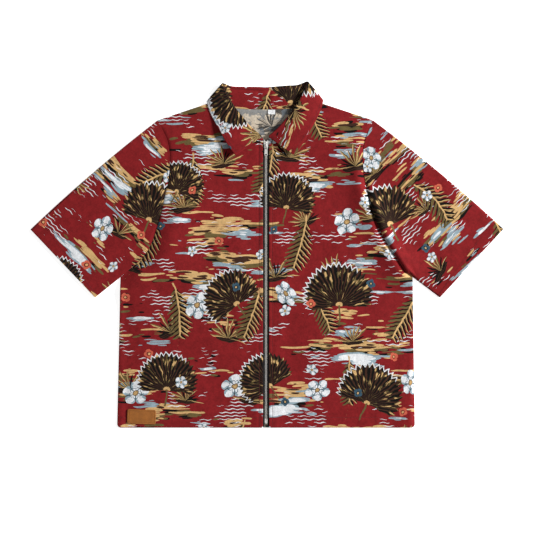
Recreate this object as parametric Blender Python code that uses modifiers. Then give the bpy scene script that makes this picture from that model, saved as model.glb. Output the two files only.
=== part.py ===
"""A short-sleeved shirt with a zip front and a fold-over collar, laid flat on its back.

X runs across the shirt, with the wearer's left at +X. Y runs from the hem up to the collar, and Z is up off
the surface that the shirt lies on, which is Z = 0. The origin is on that surface, under the middle of the
whole outline. All lengths are in metres.

Each piece of cloth is a wall of even thickness. The back and the fronts are patches stretched between their
own seams, the sleeves are flattened tubes, and the collar is a row of folded sections round the neck. Pieces
that are sewn together share the points of their seam, so the gap there stays even.
"""

import math

import bpy
import numpy as np
from mathutils import Matrix, Vector

# Cloth
CLOTH = 0.0012  # wall of the body and the sleeves
COLLAR_WALL = 0.0020  # two layers of cloth and their interlining
GAP = 0.0003  # between pieces that lie on each other or are sewn together

# Outline of the body, on the wearer's left. The other side mirrors it.
HEM_Y = -0.346
HEM_X = 0.2975
UNDERARM_Y = -0.045
SIDE_SEAM_TOP_X = 0.292
SHOULDER_TIP = (0.216, 0.268)
NECK_MID_X = -0.0020  # the neck lies this far off the zip's line
NECK_X = 0.092  # the neck seam's widest point from there, where it crosses the shoulder seam
NECK_Y = 0.309
BACK_NECK_Y = 0.290
FRONT_NECK_Y = 0.2325
ZIP_EDGE_X = 0.0062  # where each front ends beside the zip

# The neck seam between its ends: how far from the neck's middle it lies at each height.
BACK_NECK_CURVE = [(0.040, 0.2910), (0.074, 0.2960)]
FRONT_NECK_CURVE = [(0.0860, 0.2860), (0.0660, 0.2600), (0.0380, 0.2410)]

# The armhole seam, which lies a little differently on each side: its distance from the middle at each height.
ARMHOLE = [
    {"y": UNDERARM_Y, "wearer_right": 0.2910, "wearer_left": 0.2930},
    {"y": 0.005, "wearer_right": 0.2385, "wearer_left": 0.2585},
    {"y": 0.050, "wearer_right": 0.2190, "wearer_left": 0.2310},
    {"y": 0.110, "wearer_right": 0.2035, "wearer_left": 0.2085},
    {"y": 0.170, "wearer_right": 0.1934, "wearer_left": 0.1950},
    {"y": 0.226, "wearer_right": 0.1970, "wearer_left": 0.1980},
    {"y": SHOULDER_TIP[1], "wearer_right": 0.2175, "wearer_left": 0.2150},
]

# Sleeve
CUFF_TOP = {"wearer_right": (0.4710, 0.0505), "wearer_left": (0.4710, 0.0505)}
CUFF_UNDER = {"wearer_right": (0.3415, -0.0860), "wearer_left": (0.3475, -0.0860)}
SLEEVE_BOW = 0.0045  # how far the folded upper edge bows out of a straight line
SLEEVE_BOW_TOWARDS = (0.218, 0.252)
SLEEVE_OVER = 0.0016  # how much the sleeve stands over the front at the lower half of the armhole
SLEEVE_OVER_FADES = (0.35, 0.55)  # shares of the armhole's length from the underarm up
SLEEVE_NEAR_SEAM = 0.25  # share of the sleeve's length over which it comes down from the front's height
SLEEVE_ROLL = 0.0022  # radius of the folded edges
SLEEVE_ROLL_AT_SEAM = 0.0016
SLEEVE_CROWN = 0.0013  # how much the middle of the sleeve stands over its edges

# How far the fronts stand over the back
LOFT = 0.0029
SIDE_ROLL = 0.026  # the width over which a front rises from the side seam
SHOULDER_ROLL = 0.022
HEM_ROLL = 0.045
HEM_LOFT = 0.35  # share of the loft that is left at the hem
ZIP_RISE = 0.030  # the width over which a front comes to the zip's height

# Soft folds of the fronts: a trough from one point to another, its width and how much loft it takes away.
FOLDS = [
    {"start": (0.268, -0.062), "end": (0.120, -0.010), "width": 0.020, "share": 0.45},
    {"start": (0.262, -0.110), "end": (0.255, -0.330), "width": 0.016, "share": 0.40},
    {"start": (-0.262, -0.070), "end": (-0.150, -0.100), "width": 0.022, "share": 0.40},
    {"start": (-0.205, 0.215), "end": (-0.150, 0.120), "width": 0.020, "share": 0.35},
    {"start": (0.190, 0.205), "end": (0.150, 0.060), "width": 0.022, "share": 0.35},
    {"start": (-0.130, -0.200), "end": (-0.060, -0.336), "width": 0.026, "share": 0.30},
    {"start": (0.150, -0.210), "end": (0.090, -0.336), "width": 0.024, "share": 0.30},
]

# The collar's back half turns down behind the neck, so the back rises over it there.
NECK_LIFT = 0.0026
NECK_LIFT_CENTRE_Y = 0.312
NECK_LIFT_X = 0.126
NECK_LIFT_Y = 0.037
NECK_LIFT_REACH = 2.1  # the rise begins at this many times that ellipse

# The collar at stations from the middle of the back (0) round the neck (0.45 at the shoulder) to the zip (1):
# its roll line, its outer edge, and how far the section has turned over, from lying face up behind the neck
# (180) to lying face up on the front (0). r is the radius of the roll. X is from the middle of the neck.
COLLAR = [
    {"at": 0.0, "roll": (0.0, 0.3345, 0.0036), "edge": (0.0, 0.284, 0.001), "turn": 180, "r": 0.0022},
    {"at": 0.18, "roll": (0.043, 0.336, 0.0036), "edge": (0.047, 0.284, 0.001), "turn": 180, "r": 0.0022},
    {"at": 0.32, "roll": (0.07, 0.3385, 0.0042), "edge": (0.085, 0.286, 0.001), "turn": 174, "r": 0.0023},
    {"at": 0.38, "roll": (0.079, 0.342, 0.0054), "edge": (0.101, 0.293, 0.001), "turn": 160, "r": 0.0024},
    {"at": 0.41, "roll": (0.083, 0.3434, 0.0068), "edge": (0.109, 0.299, 0.0011), "turn": 142, "r": 0.0024},
    {"at": 0.43, "roll": (0.085, 0.3434, 0.0082), "edge": (0.114, 0.305, 0.0018), "turn": 118, "r": 0.0024},
    {"at": 0.45, "roll": (0.0855, 0.3422, 0.0096), "edge": (0.116, 0.3078, 0.004), "turn": 92, "r": 0.0024},
    {"at": 0.47, "roll": (0.084, 0.3375, 0.0106), "edge": (0.1155, 0.3055, 0.0064), "turn": 66, "r": 0.0024},
    {"at": 0.5, "roll": (0.08, 0.329, 0.0112), "edge": (0.1138, 0.2985, 0.0078), "turn": 42, "r": 0.0023},
    {"at": 0.54, "roll": (0.0745, 0.318, 0.0113), "edge": (0.1105, 0.288, 0.008), "turn": 26, "r": 0.0022},
    {"at": 0.62, "roll": (0.064, 0.299, 0.0112), "edge": (0.102, 0.27, 0.008), "turn": 12, "r": 0.0022},
    {"at": 0.74, "roll": (0.046, 0.2755, 0.0106), "edge": (0.088, 0.244, 0.008), "turn": 4, "r": 0.0022},
    {"at": 0.87, "roll": (0.0265, 0.253, 0.0098), "edge": (0.074, 0.22, 0.0085), "turn": 0, "r": 0.002},
    {"at": 1.0, "roll": (0.0085, 0.2375, 0.008), "edge": (0.059, 0.1985, 0.0096), "turn": 0, "r": 0.0015},
]
COLLAR_SECTIONS = [
    0.00, 0.06, 0.12, 0.18, 0.24, 0.30, 0.34, 0.37, 0.395, 0.415, 0.43, 0.44, 0.45,
    0.46, 0.475, 0.495, 0.52, 0.56, 0.62, 0.70, 0.80, 0.90, 1.00,
]
SHOULDER_AT = 0.45
COLLAR_BELLY = 0.0012  # how much the turned-down part arches
COLLAR_LEAN = 0.02  # the back of the collar lies this much higher for each metre towards the wearer's left
COLLAR_REAR_Y = 0.335  # where the collar leans by all of that
COLLAR_FORWARD = 80  # sections that have turned less than this lie on the fronts
COLLAR_BEHIND = 100  # sections that have turned more than this lie under the back
SHOULDER_BLEND = (0.04, 0.01)  # stations before and after the shoulder where the seam passes to the front
SHOULDER_MARGIN = 0.004

# Zip
ZIP_Z = 0.0036  # the middle of the tape
TAPE_WALL = 0.0010
TAPE_INNER_X = 0.0032
TAPE_OUTER_X = 0.0150
CHAIN_X = 0.0029
CHAIN_HEIGHT = 0.0024
ZIP_TOP_Y = 0.2290
CHAIN_TOP_Y = 0.2215
CHAIN_BOTTOM_Y = -0.3275
BOX_BOTTOM_Y = -0.3385
CHAIN_EDGE = 0.0004  # how far the chain's edges are rounded
BOX_EDGE = 0.0005
BOX_BELOW = 0.0002  # how far the box reaches under and over the chain
BOX_ABOVE = 0.0004
SLIDER_Y = 0.2205  # the hinge of the pull tab
SLIDER_TOP_Y = 0.2280
SLIDER_BOTTOM_Y = 0.2130
SLIDER_TOP_HALF = 0.0052
SLIDER_BOTTOM_HALF = 0.0040
SLIDER_PLATE = 0.0009
SLIDER_UNDER_PLATE = 0.0006
SLIDER_LOWER_CORNER = 0.0008
SLIDER_UPPER_CORNER = 0.0010
SLIDER_WIDENS = (0.45, 0.72)  # shares of its length between which the slider widens
WEDGE_HALF = 0.0012
WEDGE_BELOW_TOP = (0.0042, 0.0008)  # the wedge's ends, from the slider's upper end
HINGE_Z = 0.0075
CROWN_HALF = 0.0008
CROWN_SPAN = 0.0050
CROWN_BAR = 0.0012
CROWN_CLEARANCE = 0.00105  # round the pull tab's cross bar
TAB_LENGTH = 0.0240
TAB_HALF = 0.0031
TAB_THICKNESS = 0.0014
TAB_BAR = 0.00065  # half the cross bar's width
TAB_WINDOW = 0.0063
TAB_WINDOW_HALF = 0.0012
TAB_HOLE_R = 0.0011
TAB_HOLE_INSET = 0.0002  # how far the hole lies past the middle of the tab's round end
TAB_SHOULDER = 0.0004  # how much narrower the tab is at its cross bar

# Patch and label
PATCH_CENTRE = (-0.2490, -0.3246)
PATCH_SIZE = (0.0560, 0.0280)
PATCH_TILT = math.radians(-2.0)
PATCH_WALL = 0.0015
LABEL_CENTRE = (0.0110, 0.2848)
LABEL_SIZE = (0.0140, 0.0088)
LABEL_WALL = 0.0010
WELD = 0.00001

# Mesh steps
SIDE_STEPS = 9
ARMHOLE_STEPS = 13
SHOULDER_STEPS = 6
BACK_NECK_STEPS = 6
FRONT_NECK_STEPS = 8
SLEEVE_STEPS = 8
ROLL_STEPS = 4
STAND_STEPS = 3
FALL_STEPS = 5

SIDES = {"wearer_right": -1.0, "wearer_left": 1.0}


# ---------------------------------------------------------------- shape helpers


def unit(vectors):
    """The vectors at length one, along the last axis."""
    return vectors / np.linalg.norm(vectors, axis=-1, keepdims=True)


def smoothstep(low, high, value):
    """0 below low, 1 above high, and an easy curve between them."""
    t = np.clip((value - low) / (high - low), 0.0, 1.0)
    return t * t * (3.0 - 2.0 * t)


def spline(knots, values, at):
    """A smooth curve through the values at the knots, read at each place in at."""
    knots = np.asarray(knots, float)
    values = np.asarray(values, float)
    slopes = np.gradient(values, knots, axis=0)
    i = np.clip(np.searchsorted(knots, at, side="right") - 1, 0, len(knots) - 2)
    span = knots[i + 1] - knots[i]
    t = (np.asarray(at) - knots[i]) / span
    shape = (len(t),) + (1,) * (values.ndim - 1)
    t, span = t.reshape(shape), span.reshape(shape)
    return (
        (2 * t**3 - 3 * t**2 + 1) * values[i]
        + (t**3 - 2 * t**2 + t) * span * slopes[i]
        + (3 * t**2 - 2 * t**3) * values[i + 1]
        + (t**3 - t**2) * span * slopes[i + 1]
    )


def evenly(points, steps):
    """Points spaced evenly along a smooth curve through the given ones."""
    points = np.asarray(points, float)
    knots = np.concatenate([[0.0], np.cumsum(np.linalg.norm(np.diff(points, axis=0), axis=1))])
    fine = spline(knots, points, np.linspace(0.0, knots[-1], 400))
    run = np.concatenate([[0.0], np.cumsum(np.linalg.norm(np.diff(fine, axis=0), axis=1))])
    at = np.linspace(0.0, run[-1], steps + 1)
    return np.stack([np.interp(at, run, fine[:, axis]) for axis in range(fine.shape[1])], axis=1)


def patch(bottom, top, left, right):
    """A grid of points stretched between four edges that share their corners, with a row for each point of
    left and right and a column for each point of bottom and top."""
    u = np.linspace(0.0, 1.0, len(bottom))[None, :, None]
    v = np.linspace(0.0, 1.0, len(left))[:, None, None]
    across = (1 - u) * left[:, None] + u * right[:, None]
    along = (1 - v) * bottom[None] + v * top[None]
    corners = (1 - v) * ((1 - u) * bottom[0] + u * bottom[-1]) + v * ((1 - u) * top[0] + u * top[-1])
    return across + along - corners


def distance_to(x, y, start, end):
    """How far each point lies from the straight line between two points."""
    start, end = np.asarray(start), np.asarray(end)
    along = end - start
    t = np.clip(((x - start[0]) * along[0] + (y - start[1]) * along[1]) / (along @ along), 0.0, 1.0)
    return np.hypot(x - start[0] - t * along[0], y - start[1] - t * along[1])


# ---------------------------------------------------------------- seams


def armhole(side):
    """The armhole seam from the underarm to the shoulder, on one side."""
    rows = [(SIDES[side] * row[side], row["y"]) for row in ARMHOLE]
    return evenly(rows, ARMHOLE_STEPS)


def outward(seam, side):
    """The direction square to the armhole seam, away from the body, at each of its points."""
    along = unit(np.gradient(seam, axis=0))
    return SIDES[side] * np.stack([along[:, 1], -along[:, 0]], axis=1)


def side_edge(side):
    """A body panel's outer edge, from the hem up the side seam and round the armhole."""
    seam = armhole(side) - outward(armhole(side), side) * GAP
    corner = np.array([SIDES[side] * HEM_X, HEM_Y])
    rise = np.linspace(0.0, 1.0, SIDE_STEPS + 1)[:-1, None]
    return np.concatenate([corner + rise * (seam[0] - corner), seam])


def neck_point(side):
    return np.array([NECK_MID_X + SIDES[side] * NECK_X, NECK_Y])


def back_neck(side):
    """The neck seam from the middle of the back to the shoulder."""
    across = [(0.0, BACK_NECK_Y), *BACK_NECK_CURVE, (NECK_X, NECK_Y)]
    return evenly([(NECK_MID_X + SIDES[side] * x, y) for x, y in across], BACK_NECK_STEPS)


def front_neck(side):
    """The neck seam from the shoulder to the zip."""
    across = [(NECK_X, NECK_Y), *FRONT_NECK_CURVE]
    at_zip = (SIDES[side] * ZIP_EDGE_X, FRONT_NECK_Y)
    return evenly([(NECK_MID_X + SIDES[side] * x, y) for x, y in across] + [at_zip], FRONT_NECK_STEPS)


def shoulder(side):
    """The shoulder seam from the neck to the armhole."""
    t = np.linspace(0.0, 1.0, SHOULDER_STEPS + 1)[:, None]
    return neck_point(side) * (1 - t) + side_edge(side)[-1] * t


def hem(start_x, end_x, steps):
    return np.stack([np.linspace(start_x, end_x, steps + 1), np.full(steps + 1, HEM_Y)], axis=1)


# ---------------------------------------------------------------- heights


def back_under(x, y):
    """The underside of the back: flat on the surface, and lifted over the turned-down collar."""
    ring = np.hypot(x / NECK_LIFT_X, (y - NECK_LIFT_CENTRE_Y) / NECK_LIFT_Y)
    return NECK_LIFT * (1.0 - smoothstep(1.0, NECK_LIFT_REACH, ring))


def front_under(x, y):
    """The underside of the fronts: a little over the back, and down on it at the seams."""
    mirrored = np.abs(x)
    from_side = distance_to(mirrored, y, (HEM_X, HEM_Y), (SIDE_SEAM_TOP_X, UNDERARM_Y))
    from_shoulder = distance_to(mirrored, y, (NECK_X, NECK_Y), SHOULDER_TIP)
    loft = 1.0 - np.exp(-((from_side / SIDE_ROLL) ** 2))
    loft *= 1.0 - np.exp(-((from_shoulder / SHOULDER_ROLL) ** 2))
    loft *= HEM_LOFT + (1.0 - HEM_LOFT) * (1.0 - np.exp(-(((y - HEM_Y) / HEM_ROLL) ** 2)))
    for fold in FOLDS:
        away = distance_to(x, y, fold["start"], fold["end"])
        loft *= 1.0 - fold["share"] * np.exp(-((away / fold["width"]) ** 2))
    over_zip = 1.0 - smoothstep(TAPE_OUTER_X, TAPE_OUTER_X + ZIP_RISE, mirrored)
    loft = loft * (1.0 - over_zip) + over_zip
    return back_under(x, y) + CLOTH + GAP + LOFT * loft


def front_top(x, y):
    return front_under(x, y) + CLOTH


# ---------------------------------------------------------------- Blender helpers


def material(name, colour, roughness, metallic=0.0):
    made = bpy.data.materials.new(name)
    made.use_nodes = True
    shader = made.node_tree.nodes["Principled BSDF"]
    shader.inputs["Base Color"].default_value = (*colour, 1.0)
    shader.inputs["Roughness"].default_value = roughness
    shader.inputs["Metallic"].default_value = metallic
    return made


def add_object(name, data, finish, collection):
    made = bpy.data.objects.new(name, data)
    made.data.materials.append(finish)
    collection.objects.link(made)
    return made


def sheet(name, grid, wall, finish, collection, closed=False, offset=1.0):
    """A wall of cloth over a grid of points. Its thickness is added above the grid, and rows that are closed
    make a tube, whose thickness is added on the inside."""
    rows, columns = grid.shape[:2]
    last = columns if closed else columns - 1
    faces = []
    for r in range(rows - 1):
        here, beyond = r * columns, (r + 1) * columns
        for c in range(last):
            following = (c + 1) % columns
            faces.append((here + c, here + following, beyond + following, beyond + c))
    mesh = bpy.data.meshes.new(name)
    mesh.from_pydata(grid.reshape(-1, 3).tolist(), [], faces)
    mesh.shade_smooth()
    made = add_object(name, mesh, finish, collection)
    thickness = made.modifiers.new("Thickness", "SOLIDIFY")
    thickness.thickness = wall
    thickness.offset = offset
    return made


def block(name, low, high, finish, collection, bevel=0.0):
    """A box between two corners, with rounded edges if it has a bevel."""
    low, high = Vector(low), Vector(high)
    bpy.ops.mesh.primitive_cube_add(size=1.0)
    made = bpy.context.active_object
    made.name = made.data.name = name
    made.data.transform(Matrix.Translation((low + high) / 2) @ Matrix.Diagonal((*(high - low), 1.0)))
    made.data.materials.append(finish)
    for owner in made.users_collection:
        owner.objects.unlink(made)
    collection.objects.link(made)
    if bevel:
        edge = made.modifiers.new("Edges", "BEVEL")
        edge.width = bevel
        edge.segments = 2
    return made


def flat_outline(name, loops, thickness, finish, collection):
    """A plate in the XY plane from closed outlines, the first its rim and the others holes."""
    curve = bpy.data.curves.new(name, "CURVE")
    curve.dimensions = "2D"
    curve.fill_mode = "BOTH"
    curve.extrude = thickness / 2
    for loop in loops:
        path = curve.splines.new("POLY")
        path.points.add(len(loop) - 1)
        for point, (x, y) in zip(path.points, loop):
            point.co = (x, y, 0.0, 1.0)
        path.use_cyclic_u = True
    return add_object(name, curve, finish, collection)


def as_mesh(curve_object, finish, collection):
    """The same object as a closed mesh."""
    bpy.context.view_layer.update()
    graph = bpy.context.evaluated_depsgraph_get()
    mesh = bpy.data.meshes.new_from_object(curve_object.evaluated_get(graph))
    name, place = curve_object.name, curve_object.matrix_world.copy()
    bpy.data.objects.remove(curve_object)
    mesh.name = name
    mesh.materials.clear()
    made = add_object(name, mesh, finish, collection)
    made.matrix_world = place
    weld = made.modifiers.new("Weld", "WELD")
    weld.merge_threshold = WELD
    return made


def join(main, others):
    """Makes the others part of the main object."""
    for other in others:
        union = main.modifiers.new(other.name, "BOOLEAN")
        union.operation = "UNION"
        union.object = other
        other.hide_render = True
        other.display_type = "WIRE"
    return main


# ---------------------------------------------------------------- pieces


def make_back(finish, collection):
    right, left = "wearer_right", "wearer_left"
    top_half = {side: np.concatenate([back_neck(side), shoulder(side)[1:]]) for side in SIDES}
    top = np.concatenate([top_half[right][::-1], top_half[left][1:]])
    bottom = hem(-HEM_X, HEM_X, len(top) - 1)
    plan = patch(bottom, top, side_edge(right), side_edge(left))
    x, y = plan[..., 0], plan[..., 1]
    grid = np.dstack([x, y, back_under(x, y)])
    return sheet("back", grid, CLOTH, finish, collection)


def make_front(side, finish, collection):
    s = SIDES[side]
    outer = side_edge(side)
    zip_y = HEM_Y + (outer[:, 1] - HEM_Y) * (FRONT_NECK_Y - HEM_Y) / (outer[-1, 1] - HEM_Y)
    inner = np.stack([np.full(len(outer), s * ZIP_EDGE_X), zip_y], axis=1)
    top = np.concatenate([front_neck(side)[::-1], shoulder(side)[1:]])
    bottom = hem(s * ZIP_EDGE_X, s * HEM_X, len(top) - 1)
    plan = patch(bottom, top, inner, outer)
    x, y = plan[..., 0], plan[..., 1]
    grid = np.dstack([x, y, front_under(x, y)])
    if s < 0:
        grid = grid[:, ::-1]
    return sheet("front_" + side, grid, CLOTH, finish, collection)


def sleeve_plan(side):
    """The sleeve's outline seen from above, as rows from the armhole to the cuff."""
    s = SIDES[side]
    seam = armhole(side) + outward(armhole(side), side) * GAP
    cuff_under = np.array([s, 1.0]) * CUFF_UNDER[side]
    cuff_top = np.array([s, 1.0]) * CUFF_TOP[side]
    across = np.linspace(0.0, 1.0, ARMHOLE_STEPS + 1)[:, None]
    along = np.linspace(0.0, 1.0, SLEEVE_STEPS + 1)[:, None]
    cuff = cuff_under * (1 - across) + cuff_top * across
    under = seam[0] * (1 - along) + cuff_under * along
    bow = unit(np.array([s, 1.0]) * SLEEVE_BOW_TOWARDS) * SLEEVE_BOW
    upper = seam[-1] * (1 - along) + cuff_top * along + bow * 4 * along * (1 - along)
    return patch(seam, cuff, under, upper)


def make_sleeve(side, finish, collection):
    """A flattened tube: a lower layer on the surface, a folded upper edge, an upper layer and an underarm."""
    plan = sleeve_plan(side)
    turn = np.linspace(-90.0, 90.0, ROLL_STEPS + 1)[1:-1]
    rings = []
    for i, row in enumerate(plan):
        along = smoothstep(0.0, SLEEVE_NEAR_SEAM, i / SLEEVE_STEPS)
        roll = SLEEVE_ROLL_AT_SEAM + (SLEEVE_ROLL - SLEEVE_ROLL_AT_SEAM) * along
        edge_out = {0: unit(row[0] - row[1]), -1: unit(row[-1] - row[-2])}
        flat = row.copy()
        flat[0] -= edge_out[0] * roll
        flat[-1] -= edge_out[-1] * roll
        across = np.linspace(0.0, 1.0, len(row))
        crown = 2 * roll + SLEEVE_CROWN * np.sin(math.pi * across)
        over = SLEEVE_OVER * (1 - smoothstep(*SLEEVE_OVER_FADES, across)) * np.sin(math.pi * across)
        at_seam = np.maximum(front_top(plan[0, :, 0], plan[0, :, 1]) + over, 2 * roll)
        height = at_seam * (1 - along) + crown * along
        height[[0, -1]] = 2 * roll
        ring = [(x, y, 0.0) for x, y in flat]
        ring += edge_roll(flat[-1], edge_out[-1], roll, turn)
        ring += [(x, y, z) for (x, y), z in zip(flat[::-1], height[::-1])]
        ring += edge_roll(flat[0], edge_out[0], roll, turn[::-1])
        rings.append(ring)
    grid = np.array(rings)
    if SIDES[side] < 0:
        grid = grid[:, ::-1]
    return sheet("sleeve_" + side, grid, CLOTH, finish, collection, closed=True, offset=-1.0)


def edge_roll(centre, out, radius, turns):
    """The points of a folded edge between the lower and the upper layer."""
    points = []
    for degrees in turns:
        reach, rise = math.cos(math.radians(degrees)), math.sin(math.radians(degrees))
        x, y = centre + out * radius * reach
        points.append((x, y, radius + radius * rise))
    return points


def along_line(points, share):
    """The point at a share of the way along a line of points."""
    run = np.concatenate([[0.0], np.cumsum(np.linalg.norm(np.diff(points, axis=0), axis=1))])
    return np.array([np.interp(share * run[-1], run, points[:, axis]) for axis in range(2)])


def neck_seam(side, at):
    """A point of the neck seam, at a station of the collar."""
    if at <= SHOULDER_AT:
        return along_line(back_neck(side), at / SHOULDER_AT)
    return along_line(front_neck(side), (at - SHOULDER_AT) / (1.0 - SHOULDER_AT))


def collar_section(seam, inward, row):
    """One section of the collar, from the neck seam up the stand, over the roll and down to its edge."""
    turn = math.radians(row["turn"])
    inward = np.array([*inward, 0.0])
    up = np.array([0.0, 0.0, 1.0])
    stand = unit(row["roll"] - seam)
    to_fall = up * math.cos(turn) - inward * math.sin(turn)
    to_fall = unit(to_fall - stand * (to_fall @ stand))
    centre = row["roll"] - stand * row["r"]
    bend = np.linspace(0.0, math.pi, ROLL_STEPS + 1)[:, None]
    roll = centre + row["r"] * (stand * np.sin(bend) - to_fall * np.cos(bend))
    rise = np.linspace(0.0, 1.0, STAND_STEPS + 1)[:-1, None]
    fall = np.linspace(0.0, 1.0, FALL_STEPS + 1)[1:, None]
    arch = to_fall * COLLAR_BELLY * 4 * fall * (1 - fall)
    return np.concatenate(
        [seam * (1 - rise) + roll[0] * rise, roll, roll[-1] * (1 - fall) + row["edge"] * fall + arch]
    )


def collar_half(side):
    """The sections of half the collar, from the middle of the back to the zip."""
    columns = ("roll", "edge", "turn", "r")
    knots = [row["at"] for row in COLLAR]
    table = {name: spline(knots, [row[name] for row in COLLAR], COLLAR_SECTIONS) for name in columns}
    sections = []
    for i, at in enumerate(COLLAR_SECTIONS):
        row = {name: table[name][i] * 1.0 for name in columns}
        for name in ("roll", "edge"):
            row[name][0] = NECK_MID_X + SIDES[side] * row[name][0]
        seam = neck_seam(side, at)
        inward = unit(row["roll"][:2] - seam)
        x, y = seam + inward * 3 * GAP
        x -= SIDES[side] * (4 * GAP + COLLAR_WALL / 2) * abs(math.sin(math.radians(row["turn"])))
        level = smoothstep(SHOULDER_AT - SHOULDER_BLEND[0], SHOULDER_AT + SHOULDER_BLEND[1], at)
        under = back_under(x, y) + COLLAR_WALL / 2
        height = under * (1 - level) + (front_top(x, y) - CLOTH / 2) * level
        section = collar_section(np.array([x, y, height]), inward, row)
        section[:, 2] = clear_of_body(section, row["turn"])
        rear = smoothstep(BACK_NECK_Y, COLLAR_REAR_Y, section[:, 1])
        section[:, 1] += COLLAR_LEAN * section[:, 0] * rear
        sections.append(section)
    return np.array(sections)


def clear_of_body(section, turn):
    """The section's heights, moved so that its turned-down part clears the body's panels and the surface."""
    x, y, z = section.T.copy()
    fall = np.arange(len(z)) > STAND_STEPS + ROLL_STEPS
    from_neck = np.abs(x - NECK_MID_X) - NECK_X
    shoulder_y = NECK_Y + from_neck * (SHOULDER_TIP[1] - NECK_Y) / (SHOULDER_TIP[0] - NECK_X)
    on_panel = y < shoulder_y + SHOULDER_MARGIN
    if turn < COLLAR_FORWARD:
        lowest = front_top(x, y) + GAP + COLLAR_WALL / 2
        z[fall & on_panel] = np.maximum(z, lowest)[fall & on_panel]
    if turn > COLLAR_BEHIND:
        highest = back_under(x, y) - GAP - COLLAR_WALL / 2
        z[fall & on_panel] = np.minimum(z, highest)[fall & on_panel]
    return np.maximum(z, COLLAR_WALL / 2)


def make_collar(finish, collection):
    halves = {side: collar_half(side) for side in SIDES}
    grid = np.concatenate([halves["wearer_right"][::-1], halves["wearer_left"][1:]])
    return sheet("collar", grid, COLLAR_WALL, finish, collection, offset=0.0)


def make_tapes(finish, collection):
    for side, s in SIDES.items():
        inner, outer = sorted((s * TAPE_INNER_X, s * TAPE_OUTER_X))
        low = (inner, HEM_Y + 0.001, ZIP_Z - TAPE_WALL / 2)
        high = (outer, ZIP_TOP_Y, ZIP_Z + TAPE_WALL / 2)
        block("zip_tape_" + side, low, high, finish, collection)


def make_chain(finish, collection):
    low, high = ZIP_Z - CHAIN_HEIGHT / 2, ZIP_Z + CHAIN_HEIGHT / 2
    bottom = (-CHAIN_X, CHAIN_BOTTOM_Y, low)
    top = (CHAIN_X, CHAIN_TOP_Y, high)
    block("zip_chain", bottom, top, finish, collection, CHAIN_EDGE)
    bottom = (-CHAIN_X, BOX_BOTTOM_Y, low - BOX_BELOW)
    top = (CHAIN_X, CHAIN_BOTTOM_Y - GAP, high + BOX_ABOVE)
    block("zip_box", bottom, top, finish, collection, BOX_EDGE)


def make_slider(finish, collection, cutters):
    """Two plates joined by a wedge, with a crown on top that holds the pull tab."""
    length = SLIDER_TOP_Y - SLIDER_BOTTOM_Y
    half = [
        (SLIDER_BOTTOM_HALF - SLIDER_LOWER_CORNER, 0.0),
        (SLIDER_BOTTOM_HALF, SLIDER_LOWER_CORNER),
        (SLIDER_BOTTOM_HALF, SLIDER_WIDENS[0] * length),
        (SLIDER_TOP_HALF, SLIDER_WIDENS[1] * length),
        (SLIDER_TOP_HALF, length - SLIDER_UPPER_CORNER),
        (SLIDER_TOP_HALF - SLIDER_UPPER_CORNER, length),
    ]
    outline = [(x, y) for x, y in half] + [(-x, y) for x, y in reversed(half)]
    plate_low = ZIP_Z + CHAIN_HEIGHT / 2 + GAP
    under_high = ZIP_Z - CHAIN_HEIGHT / 2 - GAP
    plate_high = plate_low + SLIDER_PLATE
    under_low = under_high - SLIDER_UNDER_PLATE
    plates = []
    walls = (("zip_slider", plate_low, SLIDER_PLATE), ("slider_under", under_low, SLIDER_UNDER_PLATE))
    for name, low, wall in walls:
        owner = collection if name == "zip_slider" else cutters
        plate = flat_outline(name, [outline], wall, finish, owner)
        plate.location = (0.0, SLIDER_BOTTOM_Y, low + wall / 2)
        plates.append(as_mesh(plate, finish, owner))
    main, under = plates
    mid_plate = (plate_low + plate_high) / 2
    wedge = block(
        "slider_wedge",
        (-WEDGE_HALF, SLIDER_TOP_Y - WEDGE_BELOW_TOP[0], (under_low + under_high) / 2),
        (WEDGE_HALF, SLIDER_TOP_Y - WEDGE_BELOW_TOP[1], mid_plate),
        finish,
        cutters,
    )
    bar_low = HINGE_Z + CROWN_CLEARANCE
    bar = block(
        "slider_crown",
        (-CROWN_HALF, SLIDER_Y - CROWN_SPAN, bar_low),
        (CROWN_HALF, SLIDER_Y + CROWN_SPAN, bar_low + CROWN_BAR),
        finish,
        cutters,
    )
    legs = []
    for end in (-1, 1):
        leg_y = SLIDER_Y + end * (CROWN_SPAN - CROWN_BAR / 2)
        low = (-CROWN_HALF, leg_y - CROWN_BAR / 2, mid_plate)
        high = (CROWN_HALF, leg_y + CROWN_BAR / 2, bar_low + CROWN_BAR / 2)
        legs.append(block(f"slider_leg_{end}", low, high, finish, cutters))
    return join(main, [under, wedge, bar, *legs])


def arc(centre, radius, start, end, steps):
    """Points along an arc, from one angle in degrees to another."""
    angles = np.radians(np.linspace(start, end, steps + 1))
    return [(centre[0] + radius * math.cos(a), centre[1] + radius * math.sin(a)) for a in angles]


def make_pull_tab(finish, collection):
    """A plate whose cross bar lies under the slider's crown, with a hole near its free end. Its origin is on
    the hinge, and it rests on the chain."""
    tip = -TAB_LENGTH + TAB_HALF
    shoulder_x = TAB_HALF - TAB_SHOULDER
    rim = arc((0.0, tip), TAB_HALF, 180, 360, 10) + [(shoulder_x, TAB_BAR), (-shoulder_x, TAB_BAR)]
    window = [
        (TAB_WINDOW_HALF, -TAB_BAR),
        (TAB_WINDOW_HALF, -TAB_WINDOW),
        (-TAB_WINDOW_HALF, -TAB_WINDOW),
        (-TAB_WINDOW_HALF, -TAB_BAR),
    ]
    hole = arc((0.0, tip - TAB_HOLE_INSET), TAB_HOLE_R, 0, 330, 11)
    tab = flat_outline("zip_pull_tab", [rim, window, hole], TAB_THICKNESS, finish, collection)
    rest_z = ZIP_Z + CHAIN_HEIGHT / 2 + GAP + TAB_THICKNESS / 2
    tab.location = (0.0, SLIDER_Y, HINGE_Z)
    tab.rotation_euler = (math.asin((HINGE_Z - rest_z) / TAB_LENGTH), 0.0, 0.0)
    return tab


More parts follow.
